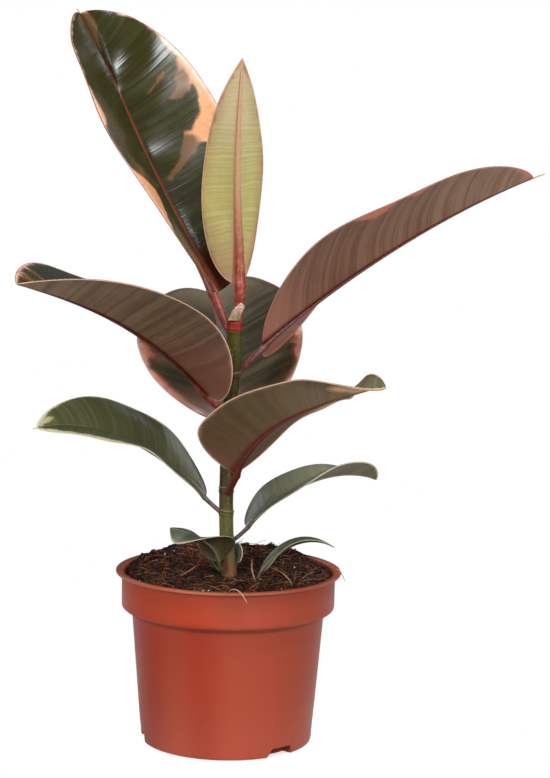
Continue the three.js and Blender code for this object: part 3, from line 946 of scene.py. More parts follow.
@dataclass
class RubberLeaf:
    """One leaf with its stalk, built as a thin closed blade and a rod.

    The blade's columns lie column_spacing apart, with the first two at their own distances from the
    midrib and the last ones at shares of the half width. A swell's reach is how far it spreads
    across the side veins and along them. The trough along the rib's upper side has a depth and the
    ridge in it a height, and each has a width in radii of the rib.
    """

    form: LeafForm
    finish: LeafFinish
    half_thickness: float = 0.34
    arch: float = 0.055
    end_half_width: float = 0.35
    steps: int = 120
    column_spacing: float = 2.2
    first_columns: tuple[float, float] = (0.6, 2.2)
    last_columns: tuple[float, ...] = (0.972, 0.987, 0.996, 1.0)
    row_spacing: float = 0.8
    corrugation: float = 0.05
    corrugation_spacing: float = 5.2
    quilting: float = 0.3
    quilting_spacing: float = 17.0
    swell_reach: tuple[float, float] = (10.5, 18.0)
    rim_round: float = 0.45
    rib_trough: tuple[float, float] = (0.35, 2.4)
    rib_ridge: tuple[float, float] = (0.5, 0.9)
    rib_sunk: float = 0.6
    rib_end: float = 0.985
    rib_least: float = 0.12
    rib_spread: float = 1.7
    stalk_sides: int = 20
    stalk_flat: float = 0.94

    def frames(self, s: Array) -> tuple[Array, Array, Array]:
        """The midrib's direction and the blade's side and upward ways.

        With heading h and rise r, the direction is (cos r cos h, cos r sin h, sin r), the flat side
        is (sin h, -cos h, 0) and the flat up is their cross product. The roll turns both about it.

        Args:
            s: Shares of the blade's length.

        Returns:
            The three directions, one row for each share.
        """
        form = self.form
        heading, rise = np.radians(along(form.heading, s)), np.radians(along(form.rise, s))
        roll = np.radians(along(form.roll, s) + form.tip_turn * ease(s, 0.72, 1.1))[:, None]
        forward = heading_rise(heading, rise)
        flat_side = np.stack([np.sin(heading), -np.cos(heading), 0 * heading], -1)
        flat_up = np.cross(flat_side, forward)
        side = np.cos(roll) * flat_side + np.sin(roll) * flat_up
        return forward, side, np.cos(roll) * flat_up - np.sin(roll) * flat_side

    def midrib(self, s: Array) -> Array:
        """The midrib's points: its base plus the running sum of its direction over short steps.

        Args:
            s: Shares of the blade's length.

        Returns:
            The points, one row for each share.
        """
        form = self.form
        middles = (np.arange(self.steps) + 0.5) / self.steps
        travelled = np.cumsum(self.frames(middles)[0] * form.length / self.steps, axis=0)
        places = np.vstack([np.zeros(3), travelled]) + np.array(form.base)
        at = s * self.steps
        return np.stack([np.interp(at, np.arange(self.steps + 1), places[:, k]) for k in range(3)], -1)

    def half_width(self, s: Array) -> Array:
        """Half the blade's width: q^a (1 - q)^b over its own peak, times the widest half width.

        q is the share of the part before the thin point, so that q = s / (1 - drip) up to 1.

        Args:
            s: Shares of the blade's length.

        Returns:
            The half width at each share.
        """
        a, b = self.form.taper
        widest = a / (a + b)
        peak = widest**a * (1 - widest) ** b
        q = np.clip(s / (1 - self.form.drip), 0, 1)
        return np.maximum(self.form.half_width * q**a * (1 - q) ** b / peak, self.end_half_width)

    def columns(self) -> Array:
        """Places across the blade, closer at the midrib and at the margins.

        Returns:
            Shares of the half width, from -1 at the left margin to 1 at the right one.
        """
        count = max(6, int(self.form.half_width / self.column_spacing))
        first, second = self.first_columns
        inner = np.linspace(second / self.form.half_width, 0.95, count)
        half = np.concatenate([[0, first / self.form.half_width], inner, self.last_columns])
        return np.concatenate([-half[:0:-1], half])

    def vein(self, run: Array, out: Array, width: Array) -> Array:
        """A number that stays the same along a side vein, in millimetres.

        It is the distance along the midrib less a share of the distance from it and less a share of
        that distance squared over the half width, so that the veins lean and curve to the tip.

        Args:
            run: Distance along the midrib.
            out: Distance from the midrib.
            width: Half width there.

        Returns:
            The number at each point.
        """
        slant, bend = self.form.lean
        return run - slant * out - bend * out**2 / width

    def rib_radius(self, s: Array) -> Array:
        """The rib's radius: the stalk's times k (1 - s)^0.8 + (1 - k) e^(-s / 0.06), plus a little.

        Args:
            s: Shares of the blade's length.

        Returns:
            The radius at each share.
        """
        share = self.form.rib_slender
        taper = share * (1 - s) ** 0.8 + (1 - share) * np.exp(-s / 0.06)
        return self.form.stalk[1] * taper + self.rib_least

    def patch(self, s: Array, t: Array, width: Array) -> tuple[Array, Array]:
        """How far a point lies inside the pale patches, in millimetres, negative outside.

        It is the largest of each band's depth less the distance to its margin, and each stroke's
        radius less the distance to its line on the flattened blade, and hills of 2 mm wander. A
        stroke stays on the half on which it starts.

        Args:
            s: Shares of the length, in a column.
            t: Shares of the half width, in a row.
            width: Half width at each s, in a column.

        Returns:
            The distance at each point of the grid, and the share, 0 to 1, that is a stroke's alone.
        """
        form = self.form
        run, across = s * form.length + 0 * t, t * width
        rim = (1 - np.abs(t)) * width
        inside = np.full(across.shape, FAR_OUTSIDE)
        for hand, band in ((Hand.LEFT, form.left_band), (Hand.RIGHT, form.right_band)):
            if band:
                depth = np.interp(s, *zip(*band))
                inside = np.maximum(inside, np.where(np.sign(t) == hand.value, depth - rim, FAR_OUTSIDE))
        banded = inside
        for stroke in form.strokes:
            start, end = [np.array([at * form.length, beside * self.half_width(np.array([at]))[0]])
                          for at, beside, _ in (stroke.start, stroke.end)]
            way = end - start
            share = ((run - start[0]) * way[0] + (across - start[1]) * way[1]) / max(float(way @ way), 1e-6)
            share = np.clip(share, 0, 1)
            gap = np.hypot(run - start[0] - share * way[0], across - start[1] - share * way[1])
            reach = stroke.start[2] + share * (stroke.end[2] - stroke.start[2]) - gap
            inside = np.maximum(inside, np.where(np.sign(t) == np.sign(stroke.start[1]), reach, FAR_OUTSIDE))
        wander = hills(run + form.seed * 31, across, 7.5) - 0.5
        wander = wander + 0.5 * (hills(run, across + form.seed * 17, 3.4) - 0.5)
        return inside + 2.2 * wander * ease(inside, -14, -4), ease(inside - banded, 0, 7.0)

    def blade(self) -> bpy.types.Object:
        """Builds the blade.

        A point at a share s of the length and t of the half width w lies at the midrib's place
        + |t| w (cos fold side * sign t + sin fold up) + normal * (arch + wave + relief), and the
        two faces stand half the thickness to each side of it, rounding together at the rim. The
        relief is fine corrugation and broad quilting along the side veins.

        Returns:
            The blade's object.
        """
        form = self.form
        rows = int(form.length / self.row_spacing) + 24
        s = (1 - np.cos(np.pi * np.linspace(0, 1, rows))) / 2
        t = self.columns()
        place = self.midrib(s)
        side, up = self.frames(s)[1:]
        width = self.half_width(s)[:, None]
        fold = np.radians(along(form.fold, s))[:, None, None]
        hand, share = np.sign(t)[None, :, None], np.abs(t)[None, :]
        outward = hand * np.cos(fold) * side[:, None] + np.sin(fold) * up[:, None]
        normal = np.cos(fold) * up[:, None] - hand * np.sin(fold) * side[:, None]
        out = share * width
        run = s[:, None] * form.length + 0 * out
        rim = width - out
        vein = self.vein(run, out, width)
        amplitude, cycles, phase = form.wave
        swing = np.sin(2 * np.pi * cycles * s[:, None] + np.sign(t) + phase)
        wave = amplitude * share**2 * swing * np.sin(np.pi * s[:, None])
        window = ease(out, 1.5, 7) * ease(rim, 0.4, 5)
        uneven = 2 * hills(vein + 20, out, self.quilting_spacing * 0.6)
        ripple = self.corrugation * uneven * np.sin(2 * np.pi * vein / self.corrugation_spacing)
        broad = 2 * hills(vein + 60, np.sign(t) * 40 + 0 * vein + form.seed, self.quilting_spacing) - 1
        fine = 2 * hills(vein, out + np.sign(t) * 80, self.quilting_spacing * 0.45) - 1
        quilt = self.quilting * (broad + 0.5 * fine)
        bulge = self.arch * width * 4 * share * (1 - share) + wave + form.relief * window * (ripple + quilt)
        for at, beside, height in form.swells:
            past = (vein - at * form.length) / self.swell_reach[0]
            aside = (out - beside * self.half_width(np.array([at]))[0]) / self.swell_reach[1]
            bulge = bulge + (t > 0) * ease(out, 0, 3) * height * np.exp(-(past**2) - aside**2)
        middle = place[:, None] + outward * out[..., None] + normal * bulge[..., None]
        ends = ease(s, 0, 0.004) * ease(1 - s, 0, 0.004)
        rounding = np.sqrt(np.clip(1 - (1 - np.clip(rim / self.rim_round, 0, 1)) ** 2, 0, 1))
        half = self.half_thickness * (0.25 + 0.75 * ends[:, None]) * rounding
        beside = out / self.rib_radius(s)[:, None]
        (deep, wide), (tall, narrow) = self.rib_trough, self.rib_ridge
        groove = deep * np.exp(-((beside / wide) ** 2)) - tall * np.exp(-((beside / narrow) ** 2))
        groove = groove * (1 - s[:, None])
        top = middle + normal * (half - groove)[..., None]
        bottom = middle - normal * half[..., None]
        inner = slice(len(t) - 2, 0, -1)
        grid = np.concatenate([top, bottom[:, inner]], axis=1)

        def both(value: Array) -> Array:
            """A number of the grid, for the points of both faces."""
            return np.concatenate([value, value[:, inner]], axis=1)

        faces = [tube_faces(rows, grid.shape[1])]
        upper = np.arange(len(t))
        lower = np.concatenate([[0], np.arange(grid.shape[1] - 1, len(t) - 1, -1), [len(t) - 1]])
        for start, outwards in ((0, False), ((rows - 1) * grid.shape[1], True)):
            cap = np.stack([upper[:-1], upper[1:], lower[1:], lower[:-1]], -1) + start
            faces.append(cap if outwards else cap[:, ::-1])
        rib = out / (self.rib_radius(s)[:, None] * self.rib_spread)
        pale, stroked = self.patch(s[:, None], t[None, :], width)
        values = {
            "face": np.concatenate([np.ones_like(out), np.zeros_like(out[:, inner])], axis=1),
            "run": both(run / form.length),
            "vein": both(vein + form.seed * 53),
            "rim": both(rim),
            "rib": both(rib + 3 * ease(s, 0.94, 1.0)[:, None]),
            "patch": both(pale),
            "stroked": both(stroked),
        }
        points = grid.reshape(-1, 3)
        name = form.node.replace("leaf", "blade")
        return make_piece(name, points, faces, self.finish.blade(name), values)

    def rod(self) -> bpy.types.Object:
        """Builds the stalk and the rib under the blade: a round section along a smooth curve.

        The stalk is a cubic Bezier curve from the stem to just under the blade's base, and the rib
        runs on below the midrib, sunk by a share of its radius.

        Returns:
            The rod's object.
        """
        form = self.form
        forward, side, up = self.frames(np.array([0.0]))
        root, base = np.array(form.root), np.array(form.base)
        join = base - up[0] * self.rib_sunk * form.stalk[1]
        reach = np.linalg.norm(join - root) * 0.35
        leave = heading_rise(*np.radians(np.array(form.leave)))
        knots = [root, root + leave * reach, join - forward[0] * reach, join]
        u = np.linspace(0, 1, 41)[:-1, None]
        shares = ((1 - u) ** 3, 3 * u * (1 - u) ** 2, 3 * u**2 * (1 - u), u**3)
        bend = sum(part * knot for part, knot in zip(shares, knots))
        s = np.linspace(0.0, self.rib_end, int(form.length / 1.5) + 12)
        radius = self.rib_radius(s) * np.sqrt(np.clip((self.rib_end - s) / 0.04, 0.02, 1))
        rib_side, rib_up = self.frames(s)[1:]
        rib = self.midrib(s) - rib_up * (self.rib_sunk * radius)[:, None]
        share = u[:, 0]
        swell = 1 + 0.16 * np.exp(-((share / 0.12) ** 2)) + 0.1 * np.exp(-(((share - 1) / 0.1) ** 2))
        stalk_radius = (form.stalk[0] + (form.stalk[1] - form.stalk[0]) * share) * swell
        path = np.vstack([bend, rib])
        radii = np.concatenate([stalk_radius, radius])
        radii[len(u) :] *= 1 + 0.1 * np.exp(-((s / 0.02) ** 2))
        sides = np.vstack([np.repeat(side, len(bend), axis=0), rib_side])
        grid = carry(path, radii, self.stalk_sides, sides, self.stalk_flat)
        points, faces = capped(grid)
        run = np.concatenate([share - 1, s])
        values = {"run": np.concatenate([np.repeat(run, self.stalk_sides), [run[0], run[-1]]])}
        name = form.node.replace("leaf", "stalk")
        return make_piece(name, points, faces, self.finish.stem_of_leaf(name), values)

    def build(self, slot: str) -> None:
        """Builds both pieces in place of the leaf's node.

        Args:
            slot: The record's material slot. Not used.
        """
        for piece in (self.blade(), self.rod()):
            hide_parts(self.form.node)


# ---------- Pot ----------


@dataclass
class NurseryPot:
    """The round tapered pot: a rolled lip, a band below it, and a wall with notches in its foot."""

    height: float = 107.0
    lip_radius: float = 70.0
    lip_thickness: float = 1.8
    band_radius: float = 66.2
    band_height: float = 22.5
    step_height: float = 27.0
    body_radius: float = 59.6
    base_radius: float = 53.2
    wall: float = 1.2
    notch_count: int = 3
    notch_angle: float = -50.0
    notch_width: float = 20.0
    notch_height: float = 5.0
    notch_reach: float = 7.0
    squash_height: float = 8.0
    round: float = 0.55
    sides: int = 576

    def profile(self) -> Array:
        """The section's corners from the middle of the foot, up outside, and down inside.

        Returns:
            Pairs of a radius and a height.
        """
        h, wall = self.height, self.wall
        band, step = h - self.band_height, h - self.step_height
        return np.array([
            (0.02, 0.0), (self.base_radius - self.notch_reach - 0.4, 0.0),
            (self.base_radius - self.notch_reach, 0.05), (self.base_radius - 1.6, 0.05),
            (self.base_radius - 0.35, 0.35), (self.base_radius, 1.5),
            (self.body_radius - 0.12, step - 1.6), (self.body_radius, step),
            (self.band_radius - 1.0, band - 0.9), (self.band_radius - 0.25, band - 0.1),
            (self.band_radius - 0.05, band + 1.2), (self.band_radius, h - self.lip_thickness - 0.9),
            (self.band_radius + 0.7, h - self.lip_thickness), (self.lip_radius - 0.5, h - self.lip_thickness),
            (self.lip_radius, h - 1.1),
            (self.lip_radius - 0.15, h - 0.4), (self.lip_radius - 0.8, h),
            (self.band_radius - wall + 1.3, h - 0.05), (self.band_radius - wall + 0.3, h - 0.7),
            (self.band_radius - wall, h - 2.2), (self.band_radius - wall - 0.2, band + 0.8),
            (self.body_radius - wall, step + 0.6), (self.base_radius - wall + 0.1, 9.0),
            (self.base_radius - wall - 0.4, 7.5), (0.02, 7.0),
        ])

    def rounded(self, corners: Array, radius: float, steps: int) -> Array:
        """Rounds a line's corners with parabolas that start and end at a distance from each.

        Args:
            corners: The line's corners.
            radius: The distance, no more than 0.45 of the side.
            steps: Points on each round.

        Returns:
            The rounded line's points.
        """
        before, at, after = corners[:-2], corners[1:-1], corners[2:]
        ways = (before - at, after - at)
        starts, ends = [at + way * np.minimum(radius / np.linalg.norm(way, axis=1, keepdims=True), 0.45)
                        for way in ways]
        u = np.linspace(0, 1, steps)[None, :, None]
        curve = (1 - u) ** 2 * starts[:, None] + 2 * u * (1 - u) * at[:, None] + u**2 * ends[:, None]
        return np.vstack([corners[:1], curve.reshape(-1, 2), corners[-1:]])

    def notch(self, angle: Array) -> Array:
        """The height of the notches round the foot: a smooth rise on the left, a steep fall on the right.

        Args:
            angle: Angles about the axis, in degrees.

        Returns:
            The height at each angle.
        """
        pitch = 360 / self.notch_count
        turn = (angle - self.notch_angle + pitch / 2) % pitch - pitch / 2
        arc = np.radians(turn) * self.base_radius
        half = self.notch_width / 2
        return self.notch_height * ease(arc, -half, -half + 4.5) * ease(-arc, -half, -half + 2.2)

    def build(self) -> None:
        """Builds the pot: its profile turned about the axis, with the foot squashed up in the notches.

        Below the squash height q a height z becomes n + z (1 - n / q), where n is the notch's height,
        on the wall and on the foot's rim.
        """
        line = self.rounded(self.profile(), self.round, 4)
        outside = np.arange(len(line)) < len(line) * 0.6
        tall = [np.linspace(a, b, 8)[:-1] if np.linalg.norm(b - a) > 20 else a[None]
                for a, b in zip(line, line[1:])]
        marks = [np.full(len(x), o) for x, o in zip(tall, outside)] + [[False]]
        line, outside = np.vstack([*tall, line[-1:]]), np.concatenate(marks)
        angle = np.linspace(0, 360, self.sides, endpoint=False)
        lift = self.notch(angle)[None]
        radius, height = line[:, :1], line[:, 1:]
        foot = outside[:, None] & (radius > self.base_radius - self.notch_reach - 0.2)
        squash = (height < self.squash_height) & foot
        height = np.where(squash, lift + height * (1 - lift / self.squash_height), height + 0 * lift)
        turn = np.radians(angle)[None]
        grid = np.stack([radius * np.cos(turn), radius * np.sin(turn), height], -1)
        points, faces = capped(grid)
        band, top = self.height - self.band_height, self.height - self.lip_thickness
        line_z = line[:, 1]
        # crease marks where painted shadow goes: under the lip, under the band and at the top of each notch.
        crease = np.exp(-(((line_z - top) / 1.2) ** 2)) * (line[:, 0] < self.band_radius + 1.2)
        crease = np.maximum(crease, np.exp(-(((line_z - band + 2.6) / 1.6) ** 2))) * outside
        crease = np.maximum(crease[:, None], squash * (lift / self.notch_height) * (height < lift + 0.6))
        inside = (~outside) * ease(line_z, self.height - 1.0, self.height - 6.0)

        def spread(value: Array) -> Array:
            """A number of the profile's points, for all points."""
            return np.concatenate([np.repeat(value, self.sides), [0, 0]])

        values = {"crease": np.concatenate([crease.ravel(), [0, 0]]), "inside": spread(inside)}
        piece = make_piece("nursery_pot", points, faces, PotPlastic().material(), values)
        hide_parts("pot")


# ---------- Soil ----------


class Grain(Enum):
    """The loose things on the soil, by the name of their piece."""

    CRUMBS = "soil_crumbs"
    FIBRES = "coir_fibres"
    STRAW = "straw_pieces"
    PERLITE = "perlite_grains"


@dataclass(frozen=True)
class Straw:
    """One straw: its two ends, its radius, and how far it bows sideways and arches up."""

    start: Triple
    end: Triple
    radius: float
    bow: float
    arch: float


@dataclass
class SoilFilling:
    """The potting soil: a lumpy surface with crumbs, coir fibres, straw and perlite on it.

    It rises towards the back, between the two places of rise_span, and by a share less on the right,
    between those of fall_span. The skirt is the hidden wall's radii and heights. A reach is the
    greatest distance from the axis. Sizes and lengths are pairs of the least one and the most that
    chance adds. Each chip has a place and a half size, and each noted grain of perlite a place.
    """

    level: float = 101.8
    back_rise: float = 9.0
    rise_span: tuple[float, float] = (-20.0, 58.0)
    right_fall: float = 0.6
    fall_span: tuple[float, float] = (32.0, 62.0)
    clump: float = 2.3
    clump_spacing: float = 9.0
    calm_radius: float = 12.0
    edge: float = 64.2
    skirt: Pairs = ((64.2, 86.0), (57.8, 80.6), (51.9, 10.0), (48.0, 8.0))
    rings: int = 120
    sides: int = 420
    seed: int = 41
    crumb_count: int = 5200
    crumb_reach: float = 63.0
    crumb_size: tuple[float, float] = (0.4, 1.0)
    fibre_count: int = 880
    fibre_reach: tuple[float, float] = (59.0, 62.5)
    fibre_length: tuple[float, float] = (4.0, 13.0)
    perlite_count: int = 30
    perlite_reach: float = 61.0
    perlite_size: tuple[float, float] = (0.3, 0.35)
    noted_size: float = 0.85
    stem_space: float = 8.0
    strand_rows: int = 9
    chips: tuple[Triple, ...] = (
        (24.7, 56.0, 3.2), (-28.0, 54.0, 3.6), (-38.0, 44.0, 2.8), (-9.0, 58.0, 2.6),
        (47.0, 34.0, 2.6), (-50.0, 22.0, 2.4), (30.0, 46.0, 2.9), (-20.0, 50.0, 2.6),
    )
    noted_perlite: Pairs = (
        (-43.5, 32.2), (-41.3, 32.6), (41.0, 17.1), (49.0, -6.7), (32.9, -35.2), (2.2, -18.2),
        (-14.5, -40.8), (-11.0, -41.5), (4.0, 38.0), (-36.0, 38.0),
    )
    straws: tuple[Straw, ...] = (
        Straw((14.5, 14.0, 110.5), (17.5, -21.0, 103.0), 0.42, 1.4, 0.6),
        Straw((23.8, 17.0, 104.8), (39.3, -30.0, 104.2), 0.34, -2.2, 1.6),
        Straw((1.0, -60.0, 105.6), (12.6, -73.4, 102.4), 0.3, 0.1, 4.4),
        Straw((66.4, 3.2, 106.4), (72.2, -3.4, 101.4), 0.36, 0.5, 3.6),
        Straw((-30.0, -8.0, 103.4), (-20.0, 6.0, 107.6), 0.24, 1.5, 0.6),
        Straw((28.0, 40.0, 106.0), (32.0, 50.0, 113.0), 0.22, 0.8, 0.4),
        Straw((33.0, 44.0, 106.5), (28.0, 48.0, 114.2), 0.18, -1.2, 0.3),
        Straw((-12.0, -30.0, 103.0), (-2.0, -52.0, 104.0), 0.22, 1.2, 1.0),
        Straw((44.0, -14.0, 103.2), (54.0, -2.0, 107.0), 0.22, -0.8, 0.6),
        Straw((12.0, -44.0, 103.0), (19.0, -30.0, 105.2), 0.24, 0.9, 0.8),
    )

    def height(self, x: Array, y: Array) -> Array:
        """The surface's height: a level, a rise towards the back that falls off to the right, clumps.

        Args:
            x: Places to the right of the axis.
            y: Places behind the axis.

        Returns:
            The height at each place.
        """
        rise = self.back_rise * (1 - self.right_fall * ease(x, *self.fall_span)) * ease(y, *self.rise_span)
        calm = ease(np.hypot(x, y), self.calm_radius, self.calm_radius * 2.2)
        coarse = hills(x, y, self.clump_spacing) - 0.5
        fine = hills(x + 40, y - 25, self.clump_spacing * 0.55) - 0.5
        return self.level + rise + calm * self.clump * (1.1 * coarse + 0.7 * fine)

    def rough_height(self, x: Array, y: Array) -> Array:
        """The height with crumbs: on the clumps lie three sets of smaller hills, each turned.

        Args:
            x: Places to the right of the axis.
            y: Places behind the axis.

        Returns:
            The height at each place.
        """
        crumbs = 0.0
        for size, spacing, c, s in ((1.5, 3.1, 0.8, 0.6), (1.0, 1.7, 0.6, -0.8), (0.6, 0.9, 0.96, 0.28)):
            crumbs = crumbs + size * (hills(x * c + y * s, y * c - x * s, spacing) - 0.5)
        return self.height(x, y) + crumbs

    def surface(self) -> None:
        """Builds the filling: rings from the axis to the wall, then down inside the wall to a base."""
        radius = self.edge * np.linspace(0.004, 1, self.rings)[:, None]
        turn = np.linspace(0, 2 * np.pi, self.sides, endpoint=False)[None]
        x, y = radius * np.cos(turn), radius * np.sin(turn)
        top = np.stack([x, y, self.rough_height(x, y)], -1)
        wall_radius, wall_height = np.array(self.skirt).T[:, :, None]
        x, y = wall_radius * np.cos(turn), wall_radius * np.sin(turn)
        walls = np.stack([x, y, wall_height + 0 * turn], -1)
        points, faces = capped(np.concatenate([top, walls]))
        x, y, z = points.T
        # hollow is how far a point dips below the smooth height, for the painted shade in the soil's
        # material.
        values = {"hollow": ease(self.height(x, y) - z, 0.1, 1.3), "shade": 0.4 * hills(x, y + 90, 5.0)}
        piece = make_piece("soil_filling", points, faces, SoilFinish().material(), values, smooth=False)
        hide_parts("soil")

    def lumps(self, centres: Array, sizes: Array, draw: np.random.Generator) -> tuple[Array, Faces]:
        """Small uneven lumps: the twelve corners of an icosahedron, each pushed in or out.

        Args:
            centres: Their middles.
            sizes: Their half sizes along three turned axes.
            draw: The seeded source of their turns.

        Returns:
            Points and faces.
        """
        g = (1 + 5**0.5) / 2
        corners = unit(np.array([
            (-1, g, 0), (1, g, 0), (-1, -g, 0), (1, -g, 0), (0, -1, g), (0, 1, g),
            (0, -1, -g), (0, 1, -g), (g, 0, -1), (g, 0, 1), (-g, 0, -1), (-g, 0, 1),
        ]))
        triangles = np.array([
            (0, 11, 5), (0, 5, 1), (0, 1, 7), (0, 7, 10), (0, 10, 11),
            (1, 5, 9), (5, 11, 4), (11, 10, 2), (10, 7, 6), (7, 1, 8),
            (3, 9, 4), (3, 4, 2), (3, 2, 6), (3, 6, 8), (3, 8, 9),
            (4, 9, 5), (2, 4, 11), (6, 2, 10), (8, 6, 7), (9, 8, 1),
        ])
        count = len(centres)
        push = 1 + 0.3 * draw.standard_normal((count, len(corners), 1)).clip(-1.3, 1.3)
        shape = corners[None] * push * sizes[:, None]
        turns = unit(draw.standard_normal((count, 4)))
        w, v = turns[:, None, :1], turns[:, None, 1:]
        turned = shape + 2 * np.cross(v, np.cross(v, shape) + w * shape)
        points = (turned + centres[:, None]).reshape(-1, 3)
        faces = (triangles[None] + len(corners) * np.arange(count)[:, None, None]).reshape(-1, 3)
        return points, [faces]

    def scatter(self, count: int, draw: np.random.Generator, reach: float) -> tuple[Array, Array]:
        """Random places on the disc of soil, even over its area.

        Args:
            count: How many.
            draw: The seeded source.
            reach: The greatest distance from the axis.

        Returns:
            The x and y of each.
        """
        radius = reach * np.sqrt(draw.uniform(0.012, 1, count))
        turn = draw.uniform(0, 2 * np.pi, count)
        return radius * np.cos(turn), radius * np.sin(turn)

    def strands(self, starts: Array, ends: Array, bow: Array, lift: Array,
                radius: Array, sides: int = 4) -> tuple[Array, Faces]:
        """Thin bent strands: straight runs bowed sideways and lifted by parabolas 4 u (1 - u).

        Args:
            starts: Their first ends.
            ends: Their other ends.
            bow: How far each bows sideways.
            lift: How far each arches up.
            radius: Each strand's radius.
            sides: Points in a section.

        Returns:
            Points and faces.
        """
        u = np.linspace(0, 1, self.strand_rows)[None, :, None]
        way = ends - starts
        across = unit(np.cross(way, np.array([0.0, 0.0, 1.0])))
        hump = 4 * u * (1 - u)
        path = starts[:, None] + way[:, None] * u + across[:, None] * hump * bow[:, None, None]
        path[..., 2] += hump[..., 0] * lift[:, None]
        tangent = unit(np.gradient(path, axis=1))
        first = unit(np.cross(tangent, np.array([0.1, 0.2, 1.0])))
        second = np.cross(tangent, first)
        angle = np.linspace(0, 2 * np.pi, sides, endpoint=False)
        thin = radius[:, None] * (1 - 0.6 * np.abs(2 * u[..., 0] - 1) ** 3)
        ring = np.cos(angle)[:, None] * first[:, :, None] + np.sin(angle)[:, None] * second[:, :, None]
        grid = path[:, :, None] + thin[:, :, None, None] * ring
        quads = tube_faces(self.strand_rows, sides)
        ends_low = np.arange(sides)[None, ::-1]
        ends_high = np.arange(sides)[None] + (self.strand_rows - 1) * sides
        offset = self.strand_rows * sides * np.arange(len(starts))[:, None, None]
        faces = [(part[None] + offset).reshape(-1, part.shape[1]) for part in (quads, ends_low, ends_high)]
        return grid.reshape(-1, 3), faces

    def loose(self, grain: Grain, points: Array, faces: Faces, shade: Array,
              material: bpy.types.Material) -> None:
        """Makes one piece of loose grains.

        Args:
            grain: Which grains they are.
            points: Their points.
            faces: Their faces.
            shade: A shade for each grain, with the same number of points in each.
            material: Their material.
        """
        shade = np.repeat(shade, len(points) // len(shade))
        values = {"shade": shade, "hollow": 0 * shade}
        piece = make_piece(grain.value, points, faces, material, values, smooth=grain is not Grain.CRUMBS)

    def crumbs(self, draw: np.random.Generator) -> None:
        """Scatters crumbs and a few bark chips over the surface.

        Args:
            draw: The seeded source.
        """
        x, y = self.scatter(self.crumb_count, draw, self.crumb_reach)
        size = self.crumb_size[0] + self.crumb_size[1] * draw.random(self.crumb_count) ** 2.4
        sizes = size[:, None] * draw.uniform(0.55, 1.35, (self.crumb_count, 3))
        chips = np.array(self.chips)
        x[: len(chips)], y[: len(chips)] = chips[:, 0], chips[:, 1]
        sizes[: len(chips)] = chips[:, 2:] * np.array([1.3, 0.9, 0.7])
        centres = np.stack([x, y, self.rough_height(x, y) + 0.15 * size], -1)
        keep = np.hypot(x, y) + sizes.max(1) < self.edge + 0.2
        keep &= np.hypot(x, y) > 6.5 + sizes.max(1)
        points, faces = self.lumps(centres[keep], sizes[keep], draw)
        shade = draw.random(int(keep.sum())) ** 1.4
        self.loose(Grain.CRUMBS, points, faces, shade, SoilFinish("soil_crumbs", light="743420").material())

    def fibres(self, draw: np.random.Generator) -> None:
        """Lays coir fibres over the surface, clear of the stem and inside the pot.

        Args:
            draw: The seeded source.
        """
        x, y = self.scatter(self.fibre_count, draw, self.fibre_reach[0])
        turn = draw.uniform(0, 2 * np.pi, self.fibre_count)
        length = self.fibre_length[0] + self.fibre_length[1] * draw.random(self.fibre_count) ** 1.6
        x2, y2 = x + length * np.cos(turn), y + length * np.sin(turn)
        shrink = np.minimum(1, self.fibre_reach[1] / np.hypot(x2, y2))
        x2, y2 = x2 * shrink, y2 * shrink
        clear = np.hypot((x + x2) / 2, (y + y2) / 2) > self.stem_space + 1
        clear &= (np.hypot(x2, y2) > self.stem_space) & (np.hypot(x, y) > self.stem_space)
        x, y, x2, y2, length = (value[clear] for value in (x, y, x2, y2, length))
        count = len(x)
        raised = draw.uniform(0.2, 1.6, count) + 2.6 * (draw.random(count) > 0.92)
        starts = np.stack([x, y, self.height(x, y) + 0.3], -1)
        ends = np.stack([x2, y2, self.height(x2, y2) + raised], -1)
        points, faces = self.strands(starts, ends, length * draw.uniform(-0.25, 0.25, count),
                                     draw.uniform(0.3, 1.6, count), draw.uniform(0.1, 0.2, count))
        finish = GrainFinish("coir_fibre", "28110a", "b07650", 0.6)
        self.loose(Grain.FIBRES, points, faces, draw.random(count) ** 2.2, finish.material())

    def straw(self) -> None:
        """Lays the straws across the soil and over the rim."""
        starts = np.array([straw.start for straw in self.straws])
        ends = np.array([straw.end for straw in self.straws])
        radius, bow, arch = np.array([(straw.radius, straw.bow, straw.arch) for straw in self.straws]).T
        points, faces = self.strands(starts, ends, bow, arch, radius, 6)
        finish = GrainFinish("straw", "8f5f40", "cfae86", 0.55)
        self.loose(Grain.STRAW, points, faces, np.linspace(1, 0.2, len(self.straws)), finish.material())

    def perlite(self, draw: np.random.Generator) -> None:
        """Drops white perlite grains on the surface.

        Args:
            draw: The seeded source.
        """
        x, y = self.scatter(self.perlite_count, draw, self.perlite_reach)
        noted = np.array(self.noted_perlite)
        x[: len(noted)], y[: len(noted)] = noted[:, 0], noted[:, 1]
        size = self.perlite_size[0] + self.perlite_size[1] * draw.random(self.perlite_count)
        size[: len(noted)] = self.noted_size
        far = np.hypot(x, y) > self.stem_space
        centres = np.stack([x, y, self.rough_height(x, y) + 0.5 * size], -1)[far]
        sizes = size[far, None] * draw.uniform(0.8, 1.2, (int(far.sum()), 3))
        points, faces = self.lumps(centres, sizes, draw)
        finish = GrainFinish("perlite", "cdbfae", "f4efe6", 0.8)
        self.loose(Grain.PERLITE, points, faces, np.full(len(sizes), 0.8), finish.material())

    def build(self) -> None:
        """Builds the filling and what lies on it."""
        self.surface()
        draw = np.random.default_rng(self.seed)
        self.crumbs(draw)
        self.fibres(draw)
        self.straw()
        self.perlite(draw)


# ---------- Stem ----------


